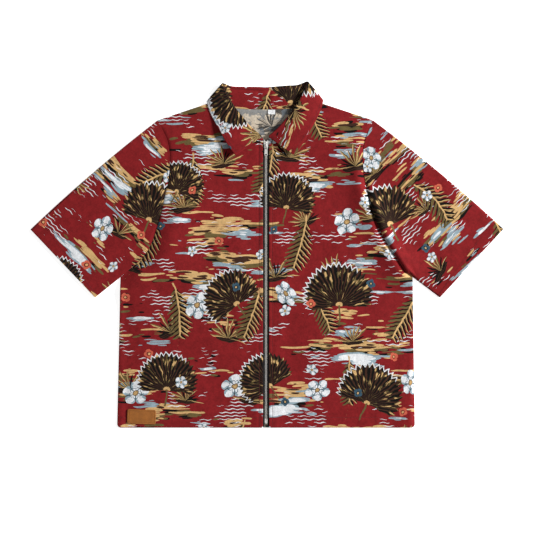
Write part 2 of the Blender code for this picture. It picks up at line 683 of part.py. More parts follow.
def make_on_panel(name, centre, size, tilt, wall, surface, steps, finish, collection):
    """A small flat piece that lies on a panel, made from the panel's own heights."""
    u, v = np.meshgrid(np.linspace(-0.5, 0.5, steps[0] + 1), np.linspace(-0.5, 0.5, steps[1] + 1))
    x = centre[0] + u * size[0] * math.cos(tilt) - v * size[1] * math.sin(tilt)
    y = centre[1] + u * size[0] * math.sin(tilt) + v * size[1] * math.cos(tilt)
    grid = np.dstack([x, y, surface(x, y) + 2 * GAP])
    return sheet(name, grid, wall, finish, collection)


def back_top(x, y):
    return back_under(x, y) + CLOTH


def make_shirt():
    for old in list(bpy.data.objects):
        bpy.data.objects.remove(old)
    shirt = bpy.data.collections.new("zip_front_shirt")
    cutters = bpy.data.collections.new("zip_front_shirt_joined_shapes")
    for made in (shirt, cutters):
        bpy.context.scene.collection.children.link(made)

    printed = material("printed_cotton", (0.262, 0.017, 0.020), 0.85)
    tape = material("zip_tape", (0.010, 0.010, 0.011), 0.80)
    nickel = material("zip_nickel", (0.560, 0.520, 0.470), 0.35, 1.0)
    leather = material("patch_leather", (0.365, 0.140, 0.022), 0.60)
    label = material("label_satin", (0.780, 0.800, 0.810), 0.50)

    make_back(printed, shirt)
    for side in SIDES:
        make_front(side, printed, shirt)
        make_sleeve(side, printed, shirt)
    make_collar(printed, shirt)
    make_tapes(tape, shirt)
    make_chain(nickel, shirt)
    make_slider(nickel, shirt, cutters)
    make_pull_tab(nickel, shirt)
    make_on_panel(
        "leather_patch", PATCH_CENTRE, PATCH_SIZE, PATCH_TILT, PATCH_WALL, front_top, (6, 3), leather, shirt
    )
    make_on_panel("size_label", LABEL_CENTRE, LABEL_SIZE, 0.0, LABEL_WALL, back_top, (2, 2), label, shirt)


make_shirt()
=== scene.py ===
"""A printed zip-front shirt with a fold-over collar, laid flat on its back on a pale floor.

X runs across the shirt with the wearer's left at +X, Y runs from the hem to the collar, and Z is up. All
lengths are in metres. Each piece of cloth is a fine shell on the form of its solid, with its own rounded
edges, and carries a map of the flat cloth that it was cut from, in metres, which the print is drawn on.
"""

import math

import bpy
import numpy as np
from bpy.props import FloatProperty, FloatVectorProperty, IntProperty, PointerProperty
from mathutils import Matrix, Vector
from mathutils.bvhtree import BVHTree


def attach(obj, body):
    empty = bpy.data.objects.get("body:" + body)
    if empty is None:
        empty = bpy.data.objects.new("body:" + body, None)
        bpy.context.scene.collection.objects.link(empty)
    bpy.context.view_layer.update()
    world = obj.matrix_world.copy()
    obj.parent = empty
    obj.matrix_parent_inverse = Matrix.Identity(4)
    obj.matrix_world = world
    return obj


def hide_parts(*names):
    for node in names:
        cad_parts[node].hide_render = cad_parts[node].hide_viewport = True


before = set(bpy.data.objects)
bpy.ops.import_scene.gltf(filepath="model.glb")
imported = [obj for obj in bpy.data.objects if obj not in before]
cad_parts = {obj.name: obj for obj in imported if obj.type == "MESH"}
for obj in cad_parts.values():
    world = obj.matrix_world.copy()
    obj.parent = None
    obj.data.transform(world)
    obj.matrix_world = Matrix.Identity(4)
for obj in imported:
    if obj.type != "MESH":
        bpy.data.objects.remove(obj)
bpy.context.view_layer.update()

bl_info = {
    "name": "Zip-front Shirt",
    "version": (1, 0, 0),
    "blender": (4, 5, 0),
    "location": "3D View > Sidebar > Shirt",
    "description": "Makes a printed, zip-front, short-sleeved shirt that lies flat",
    "category": "Add Mesh",
}

BODY = "shirt"
PULL_BODY = "zip_pull"
CLOTH_MAP = "cloth"
SIDES = {"wearer_right": -1.0, "wearer_left": 1.0}

# ---------------- the shirt's outline

HEM_Y = -0.346
HEM_X = 0.2975
HEM_CORNER = 0.007
UNDERARM_Y = -0.045
SIDE_SEAM_TOP_X = 0.292
SHOULDER_TIP = (0.216, 0.268)
NECK_MID_X = -0.0020
NECK_X = 0.092
NECK_Y = 0.309
BACK_NECK_Y = 0.290
BACK_NECK_CURVE = [(0.0, BACK_NECK_Y), (0.040, BACK_NECK_Y + 0.001), (0.074, 0.2960), (NECK_X, NECK_Y)]
FRONT_NECK_Y = 0.2325
FRONT_NECK_CURVE = [(NECK_X, NECK_Y), (0.0860, 0.2860), (0.0660, 0.2600), (0.0380, 0.2410)]
ZIP_EDGE_X = 0.0066

ARMHOLE = [
    {"y": UNDERARM_Y, "wearer_right": 0.2910, "wearer_left": 0.2930},
    {"y": 0.005, "wearer_right": 0.2385, "wearer_left": 0.2585},
    {"y": 0.050, "wearer_right": 0.2190, "wearer_left": 0.2310},
    {"y": 0.110, "wearer_right": 0.2035, "wearer_left": 0.2085},
    {"y": 0.170, "wearer_right": 0.1934, "wearer_left": 0.1950},
    {"y": 0.226, "wearer_right": 0.1970, "wearer_left": 0.1980},
    {"y": 0.268, "wearer_right": 0.2175, "wearer_left": 0.2150},
]

CUFF_TOP = {"wearer_right": (0.4710, 0.0505), "wearer_left": (0.4750, 0.0515)}
CUFF_UNDER = {"wearer_right": (0.3415, -0.0860), "wearer_left": (0.3475, -0.0860)}
SLEEVE_LENGTH = 0.255
SLEEVE_BOW = 0.0045
SLEEVE_BOW_TOWARDS = (0.218, 0.252)

# ---------------- the shirt's heights

CLOTH = 0.0012
GAP = 0.0003
LOFT = 0.0029
SIDE_ROLL = 0.026
SHOULDER_ROLL = 0.022
HEM_ROLL = 0.045
HEM_LOFT = 0.35
TAPE_OUTER_X = 0.0150
ZIP_RISE = 0.030

FOLDS = [
    {"start": (0.268, -0.062), "end": (0.120, -0.010), "width": 0.020, "share": 0.45},
    {"start": (0.262, -0.110), "end": (0.255, -0.330), "width": 0.016, "share": 0.40},
    {"start": (-0.262, -0.070), "end": (-0.150, -0.100), "width": 0.022, "share": 0.40},
    {"start": (-0.205, 0.215), "end": (-0.150, 0.120), "width": 0.020, "share": 0.35},
    {"start": (0.190, 0.205), "end": (0.150, 0.060), "width": 0.022, "share": 0.35},
    {"start": (-0.130, -0.200), "end": (-0.060, -0.336), "width": 0.026, "share": 0.30},
    {"start": (0.150, -0.210), "end": (0.090, -0.336), "width": 0.024, "share": 0.30},
]

NECK_LIFT = 0.0026
NECK_LIFT_CENTRE_Y = 0.312
NECK_LIFT_X = 0.126
NECK_LIFT_Y = 0.037
NECK_LIFT_REACH = 2.1

# ---------------- low relief of the cloth

# A turned-in edge is doubled up to its stitching, which presses a groove and puckers the cloth.
EDGE_EASE = 0.001
HEM_EDGE = {"rise": 0.00035, "groove": 0.00035, "width": 0.0013}
HEM_PUCKERS = {"height": 0.00010, "pitch": 0.011, "reach": 0.006}
ZIP_EDGE = {"rise": 0.00030, "groove": 0.00080, "width": 0.0018}
ZIP_PUCKERS = {"height": 0.00008, "pitch": 0.013, "reach": 0.005}
ZIP_PUCKERS_OFF = 0.004
SEAM_GROOVE = 0.0015
SEAM_GROOVE_WIDTH = 0.0032

# Soft waves all over a front, and how far from its side, hem and zip they start and are whole.
FRONT_WAVES = 0.0013
FRONT_WAVE_LENGTH = 0.115
WAVES_FROM_SIDE = (0.012, 0.050)
WAVES_FROM_HEM = (0.0, 0.04)
WAVES_FROM_ZIP = (0.02, 0.05)

# A front's ridge along the armhole: its height, how far from the seam it has risen and where it ends, and the
# places on Y between which it fades out. Then the height of its fold at the side seam, and its waves' seed.
FRONT_SWELL = {
    "wearer_right": {
        "ridge": 0.0085, "near": 0.024, "far": 0.080, "fade": (0.080, 0.160), "side": 0.0, "seed": 4
    },
    "wearer_left": {
        "ridge": 0.0095, "near": 0.009, "far": 0.034, "fade": (0.160, 0.260), "side": 0.0030, "seed": 3
    },
}
RIDGE_RISES = (-0.120, -0.055)
SIDE_FOLD = {"centre": 0.018, "width": 0.022}
SIDE_FOLD_STARTS = 0.008
SIDE_FOLD_FADES = (-0.240, -0.170)

# The side seam stands up at the body's edge, with a hollow beside it, up to just below the underarm.
SIDE_RIDGE = 0.0012
SIDE_RIDGE_PLACE = {"centre": 0.008, "width": 0.006}
SIDE_HOLLOW = 0.0008
SIDE_HOLLOW_PLACE = {"centre": 0.035, "width": 0.022}
SIDE_RIDGE_FADES = (-0.080, -0.050)

# ---------------- sleeves

# The wearer's left sleeve swells and folds over the front. The wearer's right one sinks under the front.
SLEEVE_SWELL = {
    "wearer_right": {"swell": 0.0, "sink": 0.0012, "fold": 0.0004, "seed": 8},
    "wearer_left": {"swell": 0.0085, "sink": 0.0, "fold": 0.0060, "seed": 7},
}
# Where these lie: a length is a distance from the seam, and a share runs up the seam from the underarm.
SWELL_ALONG = {"centre": 0.035, "width": 0.075}
SWELL_SHARE = {"centre": 0.17, "width": 0.13}
SINK_SHARE = {"centre": 0.34, "width": 0.24}
FOLD_RISES = (0.0, 0.06)
FOLD_FADES = (0.42, 0.72)
SLEEVE_GROOVE_RISES = (0.45, 0.75)
SLEEVE_FOLD_REACH = 0.007
SLEEVE_FOLD_STEPS = 10
SLEEVE_ROLL = 0.0022
SLEEVE_ROLL_AT_SEAM = 0.0016
SLEEVE_ROLL_EASE = 0.25
SLEEVE_EDGE_EASE = 0.03
SLEEVE_TURN_STEPS = 8
SLEEVE_CROWN = 0.0013
SLEEVE_WAVES = 0.0009
SLEEVE_WAVE_LENGTH = 0.075

# ---------------- collar

COLLAR_WALL = 0.0020
COLLAR_CLOTH = COLLAR_WALL - 0.0003
COLLAR = [
    {"at": 0.0, "roll": (0.0, 0.3345, 0.0036), "edge": (0.0, 0.284, 0.001), "turn": 180, "r": 0.0022},
    {"at": 0.18, "roll": (0.043, 0.336, 0.0036), "edge": (0.047, 0.284, 0.001), "turn": 180, "r": 0.0022},
    {"at": 0.32, "roll": (0.07, 0.3385, 0.0042), "edge": (0.085, 0.286, 0.001), "turn": 174, "r": 0.0023},
    {"at": 0.38, "roll": (0.079, 0.342, 0.0054), "edge": (0.101, 0.293, 0.001), "turn": 160, "r": 0.0024},
    {"at": 0.41, "roll": (0.083, 0.3434, 0.0068), "edge": (0.109, 0.299, 0.0011), "turn": 142, "r": 0.0024},
    {"at": 0.43, "roll": (0.085, 0.3434, 0.0082), "edge": (0.114, 0.305, 0.0018), "turn": 118, "r": 0.0024},
    {"at": 0.45, "roll": (0.0855, 0.3422, 0.0096), "edge": (0.116, 0.3078, 0.004), "turn": 92, "r": 0.0024},
    {"at": 0.47, "roll": (0.084, 0.3375, 0.0106), "edge": (0.1155, 0.3055, 0.0064), "turn": 66, "r": 0.0024},
    {"at": 0.5, "roll": (0.08, 0.329, 0.0112), "edge": (0.1138, 0.2985, 0.0078), "turn": 42, "r": 0.0023},
    {"at": 0.54, "roll": (0.0745, 0.318, 0.0113), "edge": (0.1105, 0.288, 0.008), "turn": 26, "r": 0.0022},
    {"at": 0.62, "roll": (0.064, 0.299, 0.0112), "edge": (0.102, 0.27, 0.008), "turn": 12, "r": 0.0022},
    {"at": 0.74, "roll": (0.046, 0.2755, 0.0106), "edge": (0.088, 0.244, 0.008), "turn": 4, "r": 0.0022},
    {"at": 0.87, "roll": (0.0265, 0.253, 0.0098), "edge": (0.074, 0.22, 0.0085), "turn": 0, "r": 0.002},
    {"at": 1.0, "roll": (0.0085, 0.2375, 0.008), "edge": (0.059, 0.1985, 0.0096), "turn": 0, "r": 0.0015},
]
COLLAR_COLUMNS = ("roll", "edge", "turn", "r")
SHOULDER_AT = 0.45
SHOULDER_BLEND = (SHOULDER_AT - 0.04, SHOULDER_AT + 0.01)
SHOULDER_MARGIN = 0.004
COLLAR_FORWARD = 80
COLLAR_BEHIND = 100
COLLAR_BELLY = 0.0012
COLLAR_LEAN = 0.02
COLLAR_REAR_Y = 0.335
COLLAR_LIFT = 0.0062
COLLAR_LIFT_RISES = (0.54, 0.80)

# Points of a section on the stand, on the roll and on the fall. The sections stand in three stretches along
# half of the neck seam, each with its start, its end and their number.
COLLAR_STEPS = (26, 8, 22)
FALL_START = COLLAR_STEPS[0] + COLLAR_STEPS[1]
COLLAR_STATIONS = [(0.0, 0.38, 36), (0.38, 0.54, 44), (0.54, 1.0, 46)]

# The collar's relief: waves, two upright creases in the middle of the stand, and a ridge below the roll.
COLLAR_EASE = 0.010
COLLAR_END_EASE = 0.015
COLLAR_WAVES = {"height": 0.0005, "length": 0.060, "seed": 15}
CREASE = 0.0011
CREASE_WIDTH = 0.0035
CREASES_OFF_MIDDLE = (-0.013, 0.009)
CREASE_RISES = (0.004, 0.012)
CREASE_FADES = (0.030, 0.042)
ROLL_RIDGE = 0.0011
ROLL_RIDGE_WIDTH = 0.0020
ROLL_RIDGE_BELOW = 0.0020
ROLL_RIDGE_SAG = 0.0040
ROLL_RIDGE_SAG_WIDTH = 0.050
ROLL_RIDGE_FADES = (0.080, 0.110)

# ---------------- cuts

# Where on the printed cloth each piece is cut: its own zero point.
PRINT_PLACE = {
    "front_wearer_right": (0.02, 0.0),
    "front_wearer_left": (0.02, 0.0),
    "back": (0.9, 0.4),
    "sleeve_wearer_right": (2.9, 0.6),
    "sleeve_wearer_left": (1.7, 0.6),
    "collar": (4.1, 0.3),
}
SLEEVE_GRAIN = math.radians(7.0)

# Lengths of edges, for the number of steps along them, and how much coarser the back's mesh is.
OUTER_EDGE = 0.69
FRONT_TOP_EDGE = 0.29
BACK_HALF_TOP_EDGE = 0.24
BACK_COARSER = 1.3
SLEEVE_ACROSS = 0.36
SLEEVE_ALONG = 0.26

# How far rows of stitches end from the cloth's edges, and how the row round the collar is laid: how many
# sections from the ends it stays, where it starts on the fall, and its points across the fall.
ZIP_ROW_SHORT = 0.002
HEM_ROW_SHORT = 0.001
CUFF_ROW_SHORT = 0.004  # a share of the cuff
NECK_ROW = 0.0055  # from the neck seam up the stand
ROLL_ROW = 0.0030  # from the roll down the stand
COLLAR_END_SECTIONS = 2
COLLAR_FALL_SKIP = 8
COLLAR_END_POINTS = 30

# ---------------- zip

ZIP_Z = 0.0036
TAPE_WALL = 0.0010
TAPE_INNER_X = 0.0032
TAPE_THIN = 0.8  # the woven band's share of the tape's thickness
TAPE_BOTTOM_Y = HEM_Y + 0.001
TAPE_STEPS = 150
TAPE_CORD_R = 0.0008
TAPE_CORD_OFF = 0.0007
TAPE_BAND_X = 0.0096
TAPE_BAND = 0.0108
ZIP_TOP_Y = 0.2290
CHAIN_X = 0.0029
CHAIN_HEIGHT = 0.0024
CHAIN_TOP_Y = 0.2215
CHAIN_BOTTOM_Y = -0.3275
TOOTH_HEAD_R = 0.00058
TOOTH_HEAD_X = 0.0003
TOOTH_ROOT = [(-0.0017, -TOOTH_HEAD_R), (-0.0014, -TOOTH_HEAD_R), (-0.0010, -0.00042), (-0.0006, -0.00042)]
TOOTH_HEIGHT = CHAIN_HEIGHT * 0.92
TOOTH_OFF_MIDDLE = 0.0004
TOOTH_SHIFT = 0.25  # of the pitch, up on one side and down on the other
TOP_STOP = (0.0020, 0.0034, 0.0021)
TOP_STOP_PLACE = (0.0036, 0.2279)
BOX_BOTTOM_Y = -0.3385
BOX_CORNER = 0.0008
BOX_FOOT = 0.0012
BOX_SHOULDER = 0.0020
BOX_GROOVE_DEEP = 0.0050
BOX_GROOVE_HALVES = (0.0003, 0.0006)  # at its lower end and at the box's top
BOX_LIP = (0.0010, 0.0026)
BOX_LIP_SHARE = 0.92
BOX_LIP_HEIGHT = 0.0032
SLIDER_Y = 0.2205
SLIDER_TOP_Y = 0.2280
SLIDER_BOTTOM_Y = 0.2130
SLIDER_TOP_HALF = 0.0052
SLIDER_BOTTOM_HALF = 0.0040
SLIDER_BOTTOM_CORNER = 0.0012
SLIDER_TOP_CORNER = 0.0011
SLIDER_WAIST = [(0.42, 0.0), (0.55, 0.55), (0.68, 1.0)]  # shares of its length, and of its widening
SLIDER_NOTCH = [(0.0024, 0.0003), (0.0013, 0.0012)]  # from its middle, and down from its top
SLIDER_PLATE = 0.0009
SLIDER_UNDER_PLATE = 0.0006
SLIDER_UNDER_SHRINK = 0.0002
RAIL_WALL = 0.0006
RAIL_INSET = (0.0002, 0.0003)  # at the slider's lower and upper end
RAIL_BOTTOM = (0.0012, 0.0030)
RAIL_TOP = (0.0048, 0.0014)
WEDGE_HALVES = (0.0012, 0.0002)
WEDGE_DOWN = (0.0012, 0.0046)
HINGE_Z = 0.0075
CROWN_FOOT = 0.7  # how far up the plate the crown's feet start
CROWN_HALF = 0.0008
CROWN_SPAN = 0.0050
CROWN_BAR = 0.0012
CROWN_ROUND = 0.0018
CROWN_CLEARANCE = 0.00105
TAB_LENGTH = 0.0240
TAB_HALF = 0.0031
TAB_THICKNESS = 0.0014
TAB_BAR = 0.00065
TAB_SHOULDER = 0.0004
TAB_SHOULDER_R = 0.0007
TAB_SIDE = [(0.0002, -0.0110), (0.0007, -0.0082), (TAB_SHOULDER, -0.0050)]  # how much narrower, and where
TAB_WINDOW = 0.0063
TAB_WINDOW_HALF = 0.0012
TAB_SLOT_HALF = 0.0011
TAB_SLOT_TOP = 0.0069
TAB_SLOT_END = 0.0104
TAB_OVAL_R = 0.0014
TAB_OVAL_WIDER = 1.45
TAB_OVAL_INSET = 0.0002
# The black floors of the tab's slot and oval, which are painted shade: their thickness and their bevel.
TAB_FLOOR = 0.0006
TAB_FLOOR_BEVEL = TAB_FLOOR * 0.3

# ---------------- patch, label and thread

PATCH_CENTRE = (-0.2490, -0.3246)
PATCH_SIZE = (0.0560, 0.0280)
PATCH_TILT = math.radians(-2.0)
PATCH_WALL = 0.0013
PATCH_CORNER = 0.0030
PATCH_STITCH_INSET = 0.0027
PATCH_STEPS = (64, 34)
PATCH_GROOVE = 0.00025
PATCH_GROOVE_WIDTH = 0.0007
PATCH_WAVES = {"height": 0.00012, "length": 0.02, "seed": 12}
LABEL_CENTRE = (0.0110, 0.2848)
LABEL_SIZE = (0.0140, 0.0088)
LABEL_WALL = 0.0005
LABEL_CORNER = 0.0004
LABEL_STEPS = (30, 20)
LABEL_CURL = 0.0009
LABEL_CURL_RISES = (-0.001, -0.0044)

# A stitch runs along X from -0.5 to 0.5. Its path and its thickness are in lengths and thread radii.
STITCH_PATH = [(-0.50, -1.6), (-0.44, -0.2), (-0.22, 0.55), (0.22, 0.55), (0.44, -0.2), (0.50, -1.6)]
STITCH_RADII = [0.7, 0.9, 1.0, 1.0, 0.9, 0.7]
STITCH_SIDES = 6
STITCH_PITCH = 1.12  # from stitch to stitch, in stitch lengths
ABOVE_ALL = 0.1  # a height over the whole shirt, from which rows of stitches are laid on it

# ---------------- stage

FLOOR_SIZE = 8.0
FLOOR_Z = -0.0004
KEY_PLACE = (5.80, 1.70, 3.41)
KEY_SIZE = (1.5, 1.5)
OVERHEAD_PLACE = (0.0, 0.0, 3.2)
OVERHEAD_SIZE = (1.6, 1.6)
VIEW_MIDDLE = (0.001, -0.024, 0.005)
SENSOR_WIDTH = 36.0


# ---------------- what a user can change


def length(name, description, default, **limits):
    """A property for a length."""
    return FloatProperty(name=name, description=description, default=default, unit="LENGTH", **limits)


def colour(name, description, default):
    """A property for a colour."""
    return FloatVectorProperty(name=name, description=description, default=default, subtype="COLOR", size=3)


class ShirtSizes(bpy.types.PropertyGroup):
    """Sizes of the cloth, its stitching and the zip's teeth"""

    mesh_step: length("Mesh step", "Distance between the points of the cloth", 0.0032, min=0.001)
    cloth_wall: length("Cloth", "Thickness of one layer of cloth", 0.0009, min=0.0002)
    hem_depth: length("Hem depth", "From the hem's edge to its stitching", 0.020)
    zip_stitch_x: length("Zip stitching", "From the zip's middle to its stitching", 0.0132)
    cuff_depth: length("Cuff depth", "From a cuff's edge to its stitching", 0.020)
    collar_inset: length("Collar inset", "From the collar's edge to its stitching", 0.005)
    collar_back_first: IntProperty(
        name="Collar back", description="Sections at each end whose stand has no stitches", default=70, min=0
    )
    tooth_pitch: length("Tooth pitch", "Distance between teeth on one side", 0.0023, min=0.001)
    stitch_length: length("Stitch length", "Length of one stitch", 0.0027, min=0.001)
    thread_radius: length("Thread radius", "Half the thread's thickness", 0.00022)


class ShirtColours(bpy.types.PropertyGroup):
    """Colours of the print, the cloth's wrong side and the trims"""

    ground: colour("Ground", "The cloth between the motifs", (0.222, 0.0118, 0.0138))
    sand: colour("Sand", "Brush strokes and highlights", (0.640, 0.400, 0.170))
    pale_blue: colour("Pale blue", "Shade of the blossoms", (0.290, 0.385, 0.435))
    white: colour("White", "Blossoms and wisps", (0.770, 0.785, 0.805))
    olive: colour("Olive", "Leaves and strokes", (0.137, 0.098, 0.036))
    dark: colour("Near black", "Shaded side of the leaves", (0.0048, 0.0040, 0.0034))
    brown: colour("Brown", "Broad leaves", (0.050, 0.0200, 0.0115))
    coral: colour("Coral", "Buds", (0.600, 0.121, 0.070))
    denim: colour("Denim", "Buds", (0.043, 0.090, 0.128))
    reverse: colour("Reverse", "The cloth's wrong side", (0.610, 0.520, 0.410))
    ghost: colour("Ghost", "Dark motifs that show through on the wrong side", (0.070, 0.064, 0.058))
    blue_ghost: colour("Blue ghost", "Pale blue that shows through on the wrong side", (0.150, 0.175, 0.200))
    # The tape's colour is also the painted shade on the floors of the pull tab's slot and oval.
    tape: colour("Tape", "The zip's tape, and the pull tab's recesses", (0.010, 0.009, 0.009))
    metal: colour("Metal", "Teeth, slider and pull tab", (0.700, 0.680, 0.645))
    leather: colour("Leather", "The patch", (0.380, 0.126, 0.016))
    label: colour("Label", "The size label", (0.860, 0.870, 0.880))


class ShirtStage(bpy.types.PropertyGroup):
    """The view and the lights"""

    view_width: length("View width", "Width of the floor that the picture shows", 1.066)
    lens: FloatProperty(name="Lens", description="Focal length", default=135.0, unit="CAMERA")
    key_power: FloatProperty(name="Key light", description="Power of the light at the right", default=745.0)
    fill_power: FloatProperty(name="Fill light", description="Power of the light overhead", default=8.0)
    sky: FloatProperty(name="Sky", description="Strength of the light from all round", default=0.16)
    floor_glow: FloatProperty(name="Floor glow", description="The floor's own light", default=0.75)


# ---------------- shape helpers


def unit(vectors):
    """The vectors at length one, along the last axis."""
    return vectors / np.maximum(np.linalg.norm(vectors, axis=-1, keepdims=True), 1e-12)


def smoothstep(low, high, value):
    """0 below low, 1 above high, and an easy curve between them."""
    t = np.clip((value - low) / (high - low), 0.0, 1.0)
    return t * t * (3.0 - 2.0 * t)


def bump(value, centre, width):
    """A soft ridge of height one across a value."""
    return np.exp(-(((value - centre) / width) ** 2))


def turn_matrix(angle):
    """Turns points in a plane against the clock, as rows times this matrix."""
    return np.array([[math.cos(angle), math.sin(angle)], [-math.sin(angle), math.cos(angle)]])


def spline(knots, values, at):
    """A smooth curve through the values at the knots, read at each place in at."""
    knots = np.asarray(knots, float)
    values = np.asarray(values, float)
    slopes = np.gradient(values, knots, axis=0)
    i = np.clip(np.searchsorted(knots, at, side="right") - 1, 0, len(knots) - 2)
    span = knots[i + 1] - knots[i]
    t = (np.asarray(at) - knots[i]) / span
    shape = (len(t),) + (1,) * (values.ndim - 1)
    t, span = t.reshape(shape), span.reshape(shape)
    return (
        (2 * t**3 - 3 * t**2 + 1) * values[i]
        + (t**3 - 2 * t**2 + t) * span * slopes[i]
        + (3 * t**2 - 2 * t**3) * values[i + 1]
        + (t**3 - t**2) * span * slopes[i + 1]
    )


def run_along(points):
    """The distance of each point along a line of them."""
    return np.concatenate([[0.0], np.cumsum(np.linalg.norm(np.diff(points, axis=0), axis=1))])


def read_at(at, run, points):
    """The points of a line at those distances along it."""
    return np.stack([np.interp(at, run, points[:, axis]) for axis in range(points.shape[1])], axis=-1)


CURVE_POINTS = 800


def evenly(points, steps, smooth=True):
    """Points spaced evenly along a curve through the given ones."""
    points = np.asarray(points, float)
    if smooth:
        knots = run_along(points)
        points = spline(knots, points, np.linspace(0.0, knots[-1], CURVE_POINTS))
    run = run_along(points)
    return read_at(np.linspace(0.0, run[-1], steps + 1), run, points)


def patch(bottom, top, left, right):
    """A grid of points stretched between four edges that share their corners."""
    u = np.linspace(0.0, 1.0, len(bottom))[None, :, None]
    v = np.linspace(0.0, 1.0, len(left))[:, None, None]
    across = (1 - u) * left[:, None] + u * right[:, None]
    along = (1 - v) * bottom[None] + v * top[None]
    corners = (1 - v) * ((1 - u) * bottom[0] + u * bottom[-1]) + v * ((1 - u) * top[0] + u * top[-1])
    return across + along - corners


def distance_to(x, y, start, end):
    """How far each point lies from the straight line between two points."""
    start, end = np.asarray(start), np.asarray(end)
    along = end - start
    t = np.clip(((x - start[0]) * along[0] + (y - start[1]) * along[1]) / (along @ along), 0.0, 1.0)
    return np.hypot(x - start[0] - t * along[0], y - start[1] - t * along[1])


def distance_to_line(x, y, line):
    """How far each point lies from a line of points."""
    away = [distance_to(x, y, start, end) for start, end in zip(line[:-1], line[1:])]
    return np.min(away, axis=0)


def waves(x, y, length, seed):
    """Soft uneven waves between about -1 and 1, about that long: seven sines in fixed directions."""
    rng = np.random.default_rng(seed)
    total = np.zeros_like(x)
    for _ in range(7):
        angle, phase, stretch = rng.uniform(0, math.tau), rng.uniform(0, math.tau), rng.uniform(0.7, 1.6)
        k = math.tau / (length * stretch)
        total += np.sin(k * (x * math.cos(angle) + y * math.sin(angle)) + phase)
    return total / 4.0


def wavy(x, y, height, length, seed):
    """Soft uneven waves of that height."""
    return height * waves(x, y, length, seed)


# ---------------- seams

# Steps along a whole seam where its fine form counts, and where a coarse one will do.
ARMHOLE_STEPS = 200
COARSE_ARMHOLE_STEPS = 40
FRONT_NECK_STEPS = 100
BACK_NECK_STEPS = 60
COARSE_FRONT_NECK_STEPS = 8
COARSE_BACK_NECK_STEPS = 6


def armhole(side, steps):
    """The armhole seam, from the underarm to the shoulder."""
    rows = [(SIDES[side] * row[side], row["y"]) for row in ARMHOLE]
    return evenly(rows, steps)


def outward(seam, side):
    """The direction square to the armhole seam, away from the body."""
    along = unit(np.gradient(seam, axis=0))
    return SIDES[side] * np.stack([along[:, 1], -along[:, 0]], axis=1)


def side_edge(side, steps):
    """A body panel's outer edge, from the hem up the side seam and round the armhole."""
    seam = armhole(side, ARMHOLE_STEPS)
    seam = seam - outward(seam, side) * GAP
    corner = np.array([SIDES[side] * HEM_X, HEM_Y])
    return evenly(np.concatenate([[corner], seam]), steps, smooth=False)


def back_neck(side, steps):
    """Half of the back's neck seam, from its middle to the shoulder."""
    return evenly([(NECK_MID_X + SIDES[side] * x, y) for x, y in BACK_NECK_CURVE], steps)


def front_neck(side, steps):
    """A front's neck seam, from the shoulder to the zip."""
    at_zip = (SIDES[side] * ZIP_EDGE_X, FRONT_NECK_Y)
    return evenly([(NECK_MID_X + SIDES[side] * x, y) for x, y in FRONT_NECK_CURVE] + [at_zip], steps)


def with_shoulder(neck, side, steps):
    """A panel's upper edge, from its middle along the neck seam and then along the shoulder."""
    shoulder = side_edge(side, 1)[-1:]
    return evenly(np.concatenate([neck, shoulder]), steps, smooth=False)


# ---------------- heights


def back_under(x, y):
    """The underside of the back: flat, and a little lifted round the neck."""
    ring = np.hypot(x / NECK_LIFT_X, (y - NECK_LIFT_CENTRE_Y) / NECK_LIFT_Y)
    return NECK_LIFT * (1.0 - smoothstep(1.0, NECK_LIFT_REACH, ring))


def front_under(x, y):
    """The underside of the front: its loft over the back, less at the body's edges and in its folds."""
    mirrored = np.abs(x)
    from_side = distance_to(mirrored, y, (HEM_X, HEM_Y), (SIDE_SEAM_TOP_X, UNDERARM_Y))
    from_shoulder = distance_to(mirrored, y, (NECK_X, NECK_Y), SHOULDER_TIP)
    loft = 1.0 - bump(from_side, 0.0, SIDE_ROLL)
    loft *= 1.0 - bump(from_shoulder, 0.0, SHOULDER_ROLL)
    loft *= HEM_LOFT + (1.0 - HEM_LOFT) * (1.0 - bump(y, HEM_Y, HEM_ROLL))
    for fold in FOLDS:
        away = distance_to(x, y, fold["start"], fold["end"])
        loft *= 1.0 - fold["share"] * bump(away, 0.0, fold["width"])
    over_zip = 1.0 - smoothstep(TAPE_OUTER_X, TAPE_OUTER_X + ZIP_RISE, mirrored)
    loft = loft * (1.0 - over_zip) + over_zip
    return back_under(x, y) + CLOTH + GAP + LOFT * loft


def front_top(x, y):
    """The upper side of the front."""
    return front_under(x, y) + CLOTH


# ---------------- meshes


def set_faces(mesh, points, faces, slots):
    """Fills a mesh with points and smooth faces, each with its material's place in the list."""
    mesh.from_pydata(points.tolist(), [], faces)
    mesh.polygons.foreach_set("material_index", np.asarray(slots, np.int32))
    mesh.shade_smooth()
    mesh.validate()


def add_object(name, mesh, materials, body=BODY):
    """Puts a mesh into the scene, with its materials, on the body that carries it."""
    made = bpy.data.objects.new(name, mesh)
    for material in materials:
        made.data.materials.append(material)
    bpy.context.scene.collection.objects.link(made)
    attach(made, body)
    return made


def shell_edges(surface, across, along, closed):
    """The edge loops of a grid: the places of their points in it, and the directions out of its edges."""
    rows, columns = surface.shape[:2]
    index = np.arange(rows * columns).reshape(rows, columns)
    if closed:
        return [(index[0], -along[0]), (index[-1][::-1], along[-1][::-1])]
    edge = np.concatenate([index[0, :-1], index[:-1, -1], index[-1, :0:-1], index[:0:-1, 0]])
    out = np.zeros_like(surface)
    out[0] -= unit(along[0])
    out[-1] += unit(along[-1])
    out[:, 0] -= unit(across[:, 0])
    out[:, -1] += unit(across[:, -1])
    return [(edge, out.reshape(-1, 3)[edge])]


